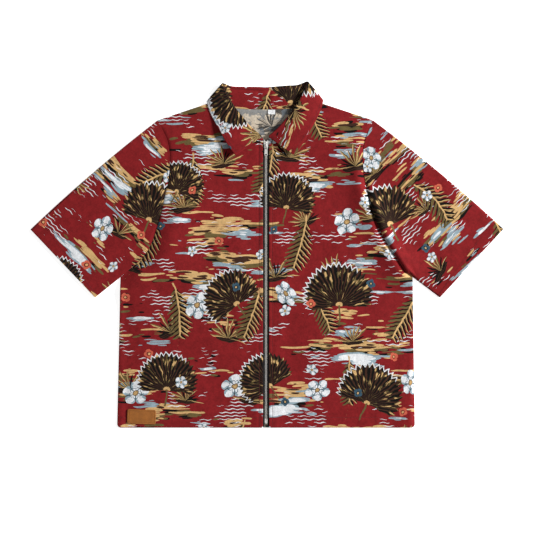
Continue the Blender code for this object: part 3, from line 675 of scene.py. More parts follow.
def shell(name, surface, flat, wall, materials, closed=False, outer_slot=0, inner_slot=1, rim_steps=4):
    """A wall of cloth round a grid of points that runs down its middle, with rounded edges all round.

    The grid's outer side is the one its normals point to. flat holds each point's place on the flat cloth. A
    closed grid is a tube: each of its rows is a ring."""
    rows, columns = surface.shape[:2]
    if closed:
        wrapped = np.concatenate([surface[:, -1:], surface, surface[:, :1]], axis=1)
        across = np.gradient(wrapped, axis=1)[:, 1:-1]
    else:
        across = np.gradient(surface, axis=1)
    along = np.gradient(surface, axis=0)
    normal = unit(np.cross(across, along))
    middles, ups, flat = surface.reshape(-1, 3), normal.reshape(-1, 3), flat.reshape(-1, 2)
    points = [middles + ups * wall / 2, middles - ups * wall / 2]
    flats = [flat, flat]
    last = columns if closed else columns - 1
    count = rows * columns
    r, c = np.meshgrid(np.arange(rows - 1), np.arange(last), indexing="ij")
    a = (r * columns + c).ravel()
    b = (r * columns + (c + 1) % columns).ravel()
    d = a + columns
    e = b + columns
    faces = [np.stack([a, b, e, d], axis=1), np.stack([a + count, d + count, e + count, b + count], axis=1)]
    slots = [outer_slot] * len(a) + [inner_slot] * len(a)
    start = 2 * count
    for loop, out in shell_edges(surface, across, along, closed):
        out = unit(out)
        rings = [loop]
        for step in range(1, rim_steps):
            angle = math.pi * step / rim_steps
            points.append(middles[loop] + wall / 2 * (ups[loop] * math.cos(angle) + out * math.sin(angle)))
            flats.append(flat[loop])
            rings.append(start + np.arange(len(loop)))
            start += len(loop)
        rings.append(loop + count)
        for high, low in zip(rings[:-1], rings[1:]):
            faces.append(np.stack([high, low, np.roll(low, -1), np.roll(high, -1)], axis=1))
            slots += [outer_slot] * len(loop)
    mesh = bpy.data.meshes.new(name)
    set_faces(mesh, np.concatenate(points), np.concatenate(faces).tolist(), slots)
    corners = np.empty(len(mesh.loops), np.int32)
    mesh.loops.foreach_get("vertex_index", corners)
    places = np.concatenate(flats)[corners].astype(np.float32)
    mesh.uv_layers.new(name=CLOTH_MAP).data.foreach_set("uv", places.ravel())
    return add_object(name, mesh, materials)


def grid_area(surface, closed=False):
    """The area of a grid of points, or of a tube of them."""
    if closed:
        surface = np.concatenate([surface, surface[:, :1]], axis=1)
    first = surface[1:, 1:] - surface[:-1, :-1]
    second = surface[1:, :-1] - surface[:-1, 1:]
    return float(np.linalg.norm(np.cross(first, second), axis=-1).sum() / 2)


def grid_normals(surface):
    """The directions square to a grid of points."""
    return unit(np.cross(np.gradient(surface, axis=1), np.gradient(surface, axis=0)))


class Parts:
    """Gathers the points and faces of several shapes for one mesh."""

    def __init__(self):
        self.points = []
        self.faces = []

    def add(self, points, faces, place=None):
        """Adds a shape, moved by a 4 by 4 matrix when there is one."""
        points = np.asarray(points, float)
        if place is not None:
            points = points @ place[:3, :3].T + place[:3, 3]
        first = len(self.points)
        self.points.extend(points.tolist())
        self.faces.extend([[first + i for i in face] for face in faces])

    def build(self, name, material, body=BODY, sharp=35.0):
        """Makes one piece of all the shapes. Edges that turn by more than sharp degrees stay sharp."""
        mesh = bpy.data.meshes.new(name)
        set_faces(mesh, np.array(self.points), self.faces, [0] * len(self.faces))
        mesh.set_sharp_from_angle(angle=math.radians(sharp))
        return add_object(name, mesh, [material], body)


def place_matrix(origin, along, up):
    """A matrix with X along a direction and Z as near as it can be to up."""
    along = unit(np.asarray(along, float))
    across = unit(np.cross(up, along))
    matrix = np.eye(4)
    matrix[:3] = np.stack([along, across, np.cross(along, across), origin], axis=1)
    return matrix


def moved_to(x, y, z):
    """A matrix that moves a shape."""
    matrix = np.eye(4)
    matrix[:3, 3] = x, y, z
    return matrix


def turned_x(angle, place):
    """A matrix that turns a shape about X and then moves it."""
    matrix = moved_to(*place)
    matrix[1:3, 1:3] = turn_matrix(-angle)
    return matrix


def arc(centre, radius, start, end, steps):
    """Points along an arc, from one angle in degrees to another."""
    angles = np.radians(np.linspace(start, end, steps + 1))
    return [(centre[0] + radius * math.cos(a), centre[1] + radius * math.sin(a)) for a in angles]


def box_loop(low, high):
    """A rectangle's corners."""
    return [(low[0], low[1]), (high[0], low[1]), (high[0], high[1]), (low[0], high[1])]


def mirrored_loop(half):
    """Half of an outline, followed by the same half mirrored."""
    return half + [(-x, y) for x, y in reversed(half)]


def plate(loops, thickness, bevel, bevel_steps=2):
    """The points and faces of a flat plate with rounded edges. The first loop is its outline and the others
    are its holes."""
    curve = bpy.data.curves.new("plate", "CURVE")
    curve.dimensions = "2D"
    curve.fill_mode = "BOTH"
    for loop in loops:
        line = curve.splines.new("POLY")
        line.points.add(len(loop) - 1)
        line.points.foreach_set("co", [value for x, y in loop for value in (x, y, 0.0, 1.0)])
        line.use_cyclic_u = True
    curve.extrude = thickness / 2 - bevel
    curve.bevel_depth = bevel
    curve.bevel_resolution = bevel_steps
    curve.offset = -bevel
    made = bpy.data.objects.new("plate", curve)
    mesh = bpy.data.meshes.new_from_object(made)
    points = [list(vertex.co) for vertex in mesh.vertices]
    faces = [list(face.vertices) for face in mesh.polygons]
    bpy.data.objects.remove(made)
    bpy.data.curves.remove(curve)
    bpy.data.meshes.remove(mesh)
    return points, faces


def tube(path, radii, sides, up=(0.0, 0.0, 1.0)):
    """The points and faces of a round bar along a path, closed at both ends."""
    path = np.asarray(path, float)
    along = unit(np.gradient(path, axis=0))
    across = unit(np.cross(along, up))
    over = np.cross(across, along)
    angles = np.arange(sides) * math.tau / sides
    points = []
    for centre, side, high, radius in zip(path, across, over, radii):
        points += [centre + radius * (side * math.cos(a) + high * math.sin(a)) for a in angles]
    faces = [list(range(sides)), list(range(len(points) - 1, len(points) - 1 - sides, -1))]
    for ring in range(len(path) - 1):
        for i in range(sides):
            a, b = ring * sides + i, ring * sides + (i + 1) % sides
            faces.append([a + sides, b + sides, b, a])
    return points, faces


# ---------------- shader expressions


class Value:
    """A shader socket that can be used in a Python expression. Each operation adds a Math node."""

    def __init__(self, graph, socket):
        self.graph = graph
        self.socket = socket

    def math(self, operation, *others):
        return self.graph.math(operation, self, *others)

    def __add__(self, other):
        return self.math("ADD", other)

    def __radd__(self, other):
        return self + other

    def __sub__(self, other):
        return self.math("SUBTRACT", other)

    def __rsub__(self, other):
        return self.graph.math("SUBTRACT", other, self)

    def __mul__(self, other):
        return self.math("MULTIPLY", other)

    def __rmul__(self, other):
        return self * other

    def __truediv__(self, other):
        return self.math("DIVIDE", other)

    def __pow__(self, other):
        return self.math("POWER", other)

    def __lt__(self, other):
        return self.math("LESS_THAN", other)

    def __gt__(self, other):
        return self.math("GREATER_THAN", other)

    def __abs__(self):
        return self.math("ABSOLUTE")

    def floor(self):
        return self.math("FLOOR")

    def fraction(self):
        return self.math("FRACT")

    def at_least(self, other):
        return self.math("MAXIMUM", other)

    def between(self, low, high):
        """1 inside the two limits and 0 outside."""
        middle, half = (low + high) / 2, (high - low) / 2
        return abs(self - middle) < half

    def eased(self, low, high, **ends):
        """Follows a smooth curve between two limits, from 0 to 1 or between the ends that are given."""
        inputs = {"Value": self, "From Min": low, "From Max": high, **ends}
        return self.graph.node("ShaderNodeMapRange", {"interpolation_type": "SMOOTHSTEP"}, inputs)

    def rising(self, low, high):
        """0 below low, 1 above high, smooth between."""
        return self.eased(low, high)

    def falling(self, low, high):
        """1 below low, 0 above high, smooth between."""
        return self.eased(low, high, **{"To Min": 1.0, "To Max": 0.0})


class Graph:
    """Adds nodes to a node tree, and links what each is given."""

    def __init__(self, tree):
        self.tree = tree

    def put(self, node, key, value):
        """Links a socket to a value's socket, or sets it to a plain one."""
        if isinstance(value, Value):
            self.tree.links.new(value.socket, node.inputs[key])
        elif value is not None:
            node.inputs[key].default_value = value

    def node(self, kind, settings=None, inputs=(), output=0):
        """Adds a node of that kind, sets it up and returns one of its outputs."""
        made = self.tree.nodes.new(kind)
        for name, value in (settings or {}).items():
            setattr(made, name, value)
        pairs = inputs.items() if isinstance(inputs, dict) else enumerate(inputs)
        for key, value in pairs:
            self.put(made, key, value)
        if output is None:
            return made
        return Value(self, made.outputs[output])

    def outputs(self, kind, settings, inputs, names):
        """Adds a node and returns several of its outputs."""
        made = self.node(kind, settings, inputs, output=None)
        return [Value(self, made.outputs[name]) for name in names]

    def math(self, operation, *values):
        return self.node("ShaderNodeMath", {"operation": operation}, values)

    def parts(self, vector):
        """A vector's X, Y and Z."""
        return self.outputs("ShaderNodeSeparateXYZ", {}, [vector], "XYZ")

    def primaries(self, picture):
        """A colour's red, green and blue."""
        return self.outputs("ShaderNodeSeparateColor", {}, [picture], ["Red", "Green", "Blue"])

    def join(self, x, y, z=0.0):
        return self.node("ShaderNodeCombineXYZ", {}, [x, y, z])

    def mix(self, share, first, second):
        """The first colour where share is 0 and the second where it is 1."""
        first, second = (v if isinstance(v, Value) else (*v, 1.0) for v in (first, second))
        made = self.node("ShaderNodeMix", {"data_type": "RGBA"}, output=None)
        factor_socket, first_colour_socket, second_colour_socket, result_socket = 0, 6, 7, 2
        self.put(made, factor_socket, share)
        self.put(made, first_colour_socket, first)
        self.put(made, second_colour_socket, second)
        return Value(self, made.outputs[result_socket])

    def scaled(self, picture, tone):
        """A colour times a number."""
        picture = picture if isinstance(picture, Value) else tuple(picture)
        return self.node("ShaderNodeVectorMath", {"operation": "SCALE"}, {"Vector": picture, "Scale": tone})

    def painted(self, picture, *layers):
        """A picture with layers painted over it, each of them a mask and a colour."""
        for mask, over in layers:
            picture = self.mix(mask, picture, over)
        return picture

    def noise(self, vector, scale, detail=2.0, roughness=0.5):
        return self.node(
            "ShaderNodeTexNoise",
            {"noise_dimensions": "2D"},
            {"Vector": vector, "Scale": scale, "Detail": detail, "Roughness": roughness},
        )

    def clouds(self, x, y, wide, high, seed, detail=1.0, roughness=0.5):
        """Noise whose blobs are that wide and high."""
        return self.noise(self.join(x / wide + seed, y / high + seed * 1.7), 1.0, detail, roughness)

    def place(self):
        """The place in the object's own space."""
        return self.node("ShaderNodeTexCoord", {}, output="Object")

    def relief(self, height, strength, distance):
        inputs = {"Strength": strength, "Distance": distance, "Height": height}
        return self.node("ShaderNodeBump", {}, inputs, output="Normal")


# ---------------- the print

# Layers of brush strokes, from the lowest: how long they are, their seed, how far below their drift they lie,
# and the height of the field above which each colour shows.
STROKE_ROW = 0.0046
STROKES = [
    {"wide": 0.050, "seed": 61.0, "below": 0.011, "shows": {"dark": 0.705}},
    {"wide": 0.050, "seed": 21.0, "below": 0.008, "shows": {"olive": 0.700}},
    {"wide": 0.060, "seed": 31.0, "below": 0.0, "shows": {"sand": 0.668, "brown": 0.790}},
]
WISPS = {"wide": 0.065, "seed": 41.0, "below": 0.022, "shows": {"pale_blue": 0.635, "white": 0.685}}

# Ripples: the distance between them, the length of a swing along and across them, and how high it is.
RIPPLE_ROW = 0.0068
RIPPLE_SWING = {"along": 0.017, "across": 0.041, "height": 0.0009}

# Each motif: the size of its cells on the cloth, its own size, its seed and the share of cells that hold one.
TUFTS = {"spacing": 0.128, "radius": 0.046, "seed": 1.0, "share": 0.60}
FRONDS = {"spacing": 0.150, "length": 0.105, "seed": 2.0, "share": 0.44, "lean": 1.57}
BLOSSOMS = {"spacing": 0.185, "radius": 0.032, "seed": 3.0, "share": 0.50}
FAN_LEAVES = {"spacing": 0.200, "radius": 0.080, "seed": 4.0, "share": 0.74}
SMALL_BLOSSOMS = {"spacing": 0.130, "radius": 0.015, "seed": 5.0, "share": 0.40}
BUDS = {"spacing": 0.120, "radius": 0.009, "seed": 6.0, "share": 0.55}
PETALS = 5
BUD_PETALS = 4
LEAFLETS = 10.0
FAN_PLEATS = 23.0
FAN_HALF_ANGLE = 1.75

CELL_HEIGHT = 0.92  # of a cell's width
ROW_SHIFT = 0.38  # how far each row of cells is shifted, in cells

# The hand-drawn wobble of all the motifs.
WOBBLE = 0.005
WOBBLE_LENGTH = 0.016


def scatter(graph, x, y, spacing, seed, wander=0.3, turn=0.0, lean=0.0):
    """Shares the cloth out in cells, and gives each place its distance from its cell's motif along and across
    that motif, and four random numbers that are the cell's own."""
    row_place = y / (spacing * CELL_HEIGHT) + seed * 3.7
    row = row_place.floor()
    column_place = x / spacing + row * ROW_SHIFT + seed * 5.1
    column = column_place.floor()
    cell = graph.join(column, row, seed)
    white = {"noise_dimensions": "3D"}
    chance, random = graph.outputs("ShaderNodeTexWhiteNoise", white, [cell], ["Value", "Color"])
    red, green, blue = graph.primaries(random)
    dx = (column_place - column - 0.5 - (red - 0.5) * wander) * spacing
    dy = (row_place - row - 0.5 - (green - 0.5) * wander) * (spacing * CELL_HEIGHT)
    angle = (blue - 0.5) * turn + lean
    about_z = {"rotation_type": "Z_AXIS"}
    turned = graph.node("ShaderNodeVectorRotate", about_z, {"Vector": graph.join(dx, dy), "Angle": angle})
    along, across, _ = graph.parts(turned)
    return along, across, chance, red, green, blue


def polar(x, y):
    """Distance from the middle and angle round it."""
    return (x * x + y * y).math("SQRT"), y.math("ARCTAN2", x)


def add_strokes(graph, x, y, colours, under):
    """Level brush strokes stacked in drifts, each row with its own ends, and ripples over them."""
    bend = (graph.clouds(x, y, 0.060, 0.030, 3.0) - 0.5) * 0.010
    level = (y + bend) / STROKE_ROW
    row = level.floor()
    off_middle = level - row - 0.5
    rounding = off_middle * off_middle * 0.16

    def strokes(layer):
        """A field that is high in drifts, with ends of its own in each row."""
        drift = graph.clouds(x, y + layer["below"], 0.150, 0.034, 11.0)
        seed = layer["seed"]
        own = graph.noise(graph.join(x / layer["wide"] + seed, row * 17.3 + seed), 1.0, 1.0)
        return drift + (own - 0.5) * 0.62 - rounding

    picture = under
    fields = [(strokes(layer), layer["shows"]) for layer in STROKES]
    drifts = graph.clouds(x, y, 0.130, 0.030, 43.0)
    fields.append((strokes(WISPS) * 0.5 + drifts * 0.5, WISPS["shows"]))
    for field, shows in fields:
        for name, above in shows.items():
            picture = graph.mix(field > above, picture, getattr(colours, name))
    return add_ripples(graph, x, y, bend, colours, picture)


def add_ripples(graph, x, y, bend, colours, under):
    """Fine white ripples in calm places, that thin out towards their ends."""
    along, across = math.tau / RIPPLE_SWING["along"], math.tau / RIPPLE_SWING["across"]
    swing = (x * along + y * across).math("SINE") * RIPPLE_SWING["height"]
    ripple = (y + bend * 0.3 + swing) / RIPPLE_ROW
    row = ripple.floor()
    off_middle = abs(ripple - row - 0.5)
    ends = graph.noise(graph.join(x / 0.024, row * 13.1), 1.0, 0.0)
    calm = graph.clouds(x, y, 0.075, 0.040, 51.0, detail=0.0) + (ends - 0.5) * 0.6
    line = off_middle < (calm - 0.65) * 0.9
    return graph.mix(line * (calm > 0.67) * (off_middle < 0.12), under, colours.white)


def add_blossoms(graph, x, y, colours, under, spacing, radius, seed, share):
    """Five-petalled flowers, white with pale blue shading, and a dotted heart."""
    along, across, chance, red, green, _ = scatter(graph, x, y, spacing, seed, turn=6.0)
    size = radius * (red * 0.35 + 0.75)
    r, angle = polar(along / size, across / size * (green * 0.4 + 1.0))
    petal = abs((angle * (PETALS / 2)).math("COSINE"))
    rim = petal**0.55 * 0.36 + 0.64
    inside = r / rim
    ragged = (graph.clouds(x, y, 0.006, 0.004, seed) - 0.5) * 0.7
    shaded = (petal * 0.9 - inside * 0.55 + ragged) < 0.16
    inner_petal = abs((angle * (PETALS / 2)).math("SINE"))
    inner_rim = inner_petal**0.5 * 0.26 + 0.26
    heart = graph.mix(((angle * 9.0).math("SINE") * r * 8.0) > 0.35, colours.sand, colours.olive)
    picture = graph.painted(
        graph.mix(shaded, colours.white, colours.pale_blue),
        ((petal < 0.13) * (r > 0.22), colours.dark),
        ((abs(r - inner_rim) < 0.030) * (petal > 0.2), colours.denim),
        (r < 0.20, heart),
        (abs(r - 0.20) < 0.025, colours.brown),
    )
    return graph.mix((r < rim) * (chance < share), under, picture)


def add_fronds(graph, x, y, colours, under, spacing, length, seed, share, lean):
    """Feathered leaf sprays, lit on one side and dark on the other."""
    along, across, chance, red, green, _ = scatter(graph, x, y, spacing, seed, turn=1.2, lean=lean)
    size = length * (red * 0.4 + 0.8)
    bend = along * along * (green - 0.5) * 9.0
    along = along / size + 0.5
    across = (across + bend) / size
    half = abs(across)
    base = along - half * 0.75
    reach = (base * (1.02 - base)).at_least(0.0).math("SQRT") * 0.50
    fill = half / reach.at_least(0.001)
    leaflet = (base * LEAFLETS).fraction()
    blade = (abs(leaflet - 0.5) < (0.49 - fill**2.6 * 0.40)) * (fill < 1.0) * (base > 0.0)
    stem = (half < 0.016) * along.between(-0.12, 0.98)
    lit = (leaflet - (across > 0.0) * 0.25) > 0.36
    picture = graph.painted(
        graph.mix(lit, colours.dark, colours.olive),
        (leaflet.between(0.56, 0.76) * (across > -0.02), colours.sand),
        (stem, colours.sand),
    )
    return graph.mix(blade.at_least(stem) * (chance < share), under, picture)


def add_tufts(graph, x, y, colours, under, spacing, radius, seed, share):
    """Fans of long narrow blades, each with its own length and colour, over a dark foot."""
    along, across, chance, red, _, _ = scatter(graph, x, y, spacing, seed, turn=0.9, wander=0.35)
    size = radius * (red * 0.5 + 0.75)
    r, angle = polar(along / size, across / size + 0.35)
    turn = angle * 3.1
    blade = turn.floor()
    own = graph.join(blade, chance * 50.0)
    length = graph.node("ShaderNodeTexWhiteNoise", {"noise_dimensions": "2D"}, [own])
    off_middle = abs(turn - blade - 0.5)
    reach = r / (length * 0.45 + 0.62)
    blades = (off_middle < (0.50 - reach * reach * 0.50)) * angle.between(-0.15, math.pi + 0.15)
    picture = graph.mix(length > 0.45, colours.dark, colours.olive)
    picture = graph.mix((length > 0.30) * (turn - blade).between(0.50, 0.70), picture, colours.sand)
    foot = graph.mix((across / size * 14.0).fraction() > 0.55, colours.dark, colours.brown)
    low = (across / size + 0.38) * 3.4
    mound = (along / size * along / size + low * low) < 0.30
    picture = graph.mix(blades, foot, picture)
    return graph.mix(blades.at_least(mound) * (chance < share), under, picture)


def add_fan_leaves(graph, x, y, colours, under, spacing, radius, seed, share):
    """Big dark pleated leaves that open from a stalk like a fan, with a notched rim and brushed lights."""
    along, across, chance, red, _, _ = scatter(graph, x, y, spacing, seed, turn=1.5, wander=0.34)
    size = radius * (red * 0.55 + 0.72)
    r, angle = polar(along / size, across / size + 0.40)
    opening = (angle - math.pi / 2) * (1.0 / FAN_HALF_ANGLE)
    pleat = angle * (FAN_PLEATS / math.pi)
    fold = abs(pleat.fraction() - 0.5)
    rim = (1.08 - opening * opening * 0.34) - fold * 0.22
    brushed = graph.noise(graph.join(pleat * 1.3, r * 4.0 + chance * 30.0), 1.0, 1.0)
    depth = r / rim
    stalk = abs(along / size - (across / size + 0.40) * 0.12) < 0.022
    stalk = stalk * (across / size).between(-0.85, -0.38)
    picture = graph.painted(
        graph.mix(pleat.fraction() > 0.5, colours.dark, colours.brown),
        (brushed + depth * 0.10 > 0.68, colours.olive),
        (brushed + depth * 0.14 > 0.79, colours.sand),
        ((fold > 0.42) * (depth > 0.16), colours.dark),
        ((depth > 0.955) * (opening > -0.35), colours.white),
        (depth < 0.10, colours.sand),
        (stalk, colours.olive),
    )
    leaf = (depth < 1.0) * (abs(opening) < 1.0)
    return graph.mix(leaf.at_least(stalk) * (chance < share), under, picture)


def add_buds(graph, x, y, colours, under, spacing, radius, seed, share):
    """Small round flowers in coral or denim, with a dark ring and a sand heart."""
    along, across, chance, _, green, _ = scatter(graph, x, y, spacing, seed, turn=6.0, wander=0.5)
    r, angle = polar(along / radius, across / radius)
    rim = abs((angle * (BUD_PETALS / 2)).math("COSINE")) ** 0.5 * 0.35 + 0.65
    own = graph.mix(green > 0.55, colours.coral, colours.denim)
    own = graph.painted(own, (r.between(0.30, 0.42), colours.dark), (r < 0.22, colours.sand))
    return graph.mix((r < rim) * (chance < share), under, own)


def print_group(colours):
    """The print, as a node group: its colour for a place on the flat cloth in metres."""
    tree = bpy.data.node_groups.new("Botanical print", "ShaderNodeTree")
    tree.interface.new_socket("Place", in_out="INPUT", socket_type="NodeSocketVector")
    tree.interface.new_socket("Color", in_out="OUTPUT", socket_type="NodeSocketColor")
    graph = Graph(tree)
    entry = tree.nodes.new("NodeGroupInput")
    leave = tree.nodes.new("NodeGroupOutput")
    x, y, _ = graph.parts(Value(graph, entry.outputs[0]))
    picture = add_strokes(graph, x, y, colours, colours.ground)
    x = x + (graph.clouds(x, y, WOBBLE_LENGTH, WOBBLE_LENGTH, 61.0) - 0.5) * WOBBLE
    y = y + (graph.clouds(x, y, WOBBLE_LENGTH, WOBBLE_LENGTH, 71.0) - 0.5) * WOBBLE
    picture = add_tufts(graph, x, y, colours, picture, **TUFTS)
    picture = add_fronds(graph, x, y, colours, picture, **FRONDS)
    picture = add_blossoms(graph, x, y, colours, picture, **BLOSSOMS)
    picture = add_fan_leaves(graph, x, y, colours, picture, **FAN_LEAVES)
    picture = add_blossoms(graph, x, y, colours, picture, **SMALL_BLOSSOMS)
    picture = add_buds(graph, x, y, colours, picture, **BUDS)
    tree.links.new(picture.socket, leave.inputs[0])
    return tree


# ---------------- materials

COTTON_WEAVE = 0.0008
TAPE_WEAVE = 0.0009
SATIN_WEAVE = 0.0006
THREAD_WEAVE = 0.0005
LEATHER_GRAIN = 1100.0  # grains in a metre
THREAD_SHADE = 0.5  # of the ground's colour
TAN_THREAD_SHADE = 0.6  # of the leather's colour


def new_material(name):
    """A material with its graph and its shader node."""
    made = bpy.data.materials.new(name)
    made.use_nodes = True
    return made, Graph(made.node_tree), made.node_tree.nodes["Principled BSDF"]


def dress(graph, shader, picture, roughness, relief):
    """Links what changes over a surface to its shader."""
    graph.put(shader, "Base Color", picture)
    graph.put(shader, "Roughness", roughness)
    graph.put(shader, "Normal", relief)


def weave_height(x, y, pitch):
    """A plain weave: threads that go over and under each other."""
    warp = (x * (math.tau / pitch)).math("SINE")
    weft = (y * (math.tau / pitch)).math("SINE")
    return warp * weft


def wrong_side(graph, x, y, picture, colours):
    """The print as it shows through on the cloth's wrong side: pale, with dark and blue blotches."""
    red, _, blue = graph.primaries(picture)
    blotch = graph.clouds(x, y, 0.020, 0.016, 81.0, detail=3.0, roughness=0.6)
    return graph.painted(
        graph.mix(red.rising(0.0, 0.22), colours.ghost, colours.reverse),
        ((blue - red).rising(0.03, 0.16), colours.blue_ghost),
        (blotch.rising(0.52, 0.60) * 0.75, colours.blue_ghost),
        (blotch.falling(0.36, 0.41) * 0.80, colours.ghost),
    )


def cotton(name, colours, group, reverse=False):
    """Printed cotton: the print on a plain weave, with slubs, mottling and a washed look."""
    made, graph, shader = new_material(name)
    place = graph.node("ShaderNodeUVMap", {"uv_map": CLOTH_MAP}, output="UV")
    x, y, _ = graph.parts(place)
    picture = graph.node("ShaderNodeGroup", {"node_tree": group}, [place])
    if reverse:
        picture = wrong_side(graph, x, y, picture, colours)
    mottle = graph.noise(place, 420.0, 3.0, 0.7)
    slub = graph.noise(graph.join(x * 300.0, y * 2600.0), 1.0, 1.0)
    wash = graph.noise(place, 60.0, 5.0, 1.0)
    tone = mottle * 0.22 + slub * 0.16 + wash * 1.50 + 0.06
    height = weave_height(x, y, COTTON_WEAVE) * 0.5 + slub * 0.8 + mottle
    relief = graph.relief(height, strength=0.35, distance=0.00012)
    dress(graph, shader, graph.scaled(picture, tone), mottle * 0.12 + 0.78, relief)
    shader.inputs["Sheen Weight"].default_value = 0.03
    shader.inputs["Sheen Roughness"].default_value = 0.5
    shader.inputs["Specular IOR Level"].default_value = 0.12
    return made


def woven(name, tint, pitch, roughness):
    """Plain woven cloth or thread of one colour, such as the zip's tape."""
    made, graph, shader = new_material(name)
    place = graph.place()
    x, y, _ = graph.parts(place)
    ribs = weave_height(x, y, pitch)
    grain = graph.noise(place, 900.0, 2.0)
    tone = grain * 0.5 + ribs * 0.18 + 0.75
    relief = graph.relief(ribs + grain, strength=0.6, distance=0.0002)
    dress(graph, shader, graph.scaled(tint, tone), grain * 0.2 + roughness, relief)
    return made


def brushed_metal(name, tint):
    """Satin plating: finely brushed, and worn brighter in places."""
    made, graph, shader = new_material(name)
    place = graph.place()
    fine = graph.noise(place, 1400.0, 3.0, 0.65)
    worn = graph.noise(place, 260.0, 2.0)
    tone = worn * 0.35 + 0.80
    relief = graph.relief(fine, strength=0.25, distance=0.00004)
    dress(graph, shader, graph.scaled(tint, tone), fine * 0.22 + 0.22, relief)
    shader.inputs["Metallic"].default_value = 0.55
    return made


def grained_leather(name, tint):
    """Leather with a fine grain of cells and a cloudy tan."""
    made, graph, shader = new_material(name)
    place = graph.place()
    to_edge = {"feature": "DISTANCE_TO_EDGE"}
    cells = graph.node("ShaderNodeTexVoronoi", to_edge, {"Vector": place, "Scale": LEATHER_GRAIN})
    cloudy = graph.noise(place, 90.0, 3.0, 0.6)
    tone = cloudy * 0.55 + cells.rising(0.0, 0.25) * 0.25 + 0.50
    relief = graph.relief(cells + cloudy * 0.5, strength=0.5, distance=0.0002)
    dress(graph, shader, graph.scaled(tint, tone), cloudy * 0.25 + 0.42, relief)
    return made


def floor_finish(name):
    """The studio floor: matt, nearly white, and shining a little by itself."""
    made, graph, shader = new_material(name)
    cloudy = graph.noise(graph.place(), 3.0, 2.0)
    graph.put(shader, "Base Color", graph.mix(cloudy, (0.93, 0.93, 0.925), (0.95, 0.95, 0.95)))
    shader.inputs["Roughness"].default_value = 0.9
    shader.inputs["Specular IOR Level"].default_value = 0.1
    shader.inputs["Emission Color"].default_value = (1.0, 1.0, 1.0, 1.0)
    shader.inputs["Emission Strength"].default_value = bpy.context.scene.shirt_stage.floor_glow
    return made


FINISHES = {}


def finish(name):
    """The material of that name. All of them are made the first time that one is asked for."""
    if not FINISHES:
        colours = bpy.context.scene.shirt_colours
        group = print_group(colours)
        FINISHES["print"] = cotton("printed cotton", colours, group)
        FINISHES["reverse"] = cotton("cotton reverse", colours, group, reverse=True)
        FINISHES["tape"] = woven("zip tape", colours.tape, TAPE_WEAVE, 0.70)
        FINISHES["label"] = woven("label satin", colours.label, SATIN_WEAVE, 0.45)
        FINISHES["thread"] = woven("sewing thread", colours.ground * THREAD_SHADE, THREAD_WEAVE, 0.6)
        FINISHES["tan_thread"] = woven("patch thread", colours.leather * TAN_THREAD_SHADE, THREAD_WEAVE, 0.6)
        FINISHES["metal"] = brushed_metal("zip nickel", colours.metal)
        # Painted shade: dark metal in the tape's colour, for the floors of the pull tab's slot and oval.
        FINISHES["painted_shade"] = brushed_metal("blackened metal", colours.tape)
        FINISHES["leather"] = grained_leather("patch leather", colours.leather)
        FINISHES["floor"] = floor_finish("studio floor")
    return FINISHES[name]


# ---------------- stitching


def laid_on(made, line):
    """A line of points in plan laid on top of a piece, and the piece's normals there."""
    mesh = made.data
    tree = BVHTree.FromPolygons([v.co for v in mesh.vertices], [p.vertices for p in mesh.polygons])
    down = Vector((0.0, 0.0, -1.0))
    hits = [tree.ray_cast(Vector((x, y, ABOVE_ALL)), down) for x, y in line]
    found = [(point, normal) for point, normal, *_ in hits if point is not None]
    return np.array([point for point, _ in found]), np.array([normal for _, normal in found])


def add_stitches(parts, line, sizes):
    """A row of stitches along a line of points and normals. Each comes out of the cloth and goes back in."""
    points, normals = line
    run = run_along(points)
    base, faces = tube([(x, 0.0, z) for x, z in STITCH_PATH], STITCH_RADII, STITCH_SIDES)
    shaped = np.array(base) * (sizes.stitch_length, sizes.thread_radius, sizes.thread_radius)
    for start in np.arange(0.0, run[-1] - sizes.stitch_length, sizes.stitch_length * STITCH_PITCH):
        first, last = (read_at(at, run, points) for at in (start, start + sizes.stitch_length))
        up = unit(read_at(start, run, normals))
        parts.add(shaped, faces, place_matrix((first + last) / 2, last - first, up))


def sew(name, made, rows, sizes, steps, thread="thread"):
    """Rows of stitches along lines in plan, laid on a piece."""
    stitched = Parts()
    for row in rows:
        add_stitches(stitched, laid_on(made, evenly(row, steps, smooth=False)), sizes)
    return stitched.build(name, finish(thread))


# ---------------- fronts and back


def turned_edge(distance, depth, rise, groove, width):
    """The relief of a turned-in edge: doubled cloth up to its stitching, which presses a groove."""
    doubled = 1 - smoothstep(depth - EDGE_EASE, depth + EDGE_EASE, distance)
    return rise * doubled - groove * bump(distance, depth, width)


def puckers(along, distance, centre, height, pitch, reach):
    """Small waves along a row of stitches that die out beside it."""
    return height * np.sin(along * math.tau / pitch) * bump(distance, centre, reach)


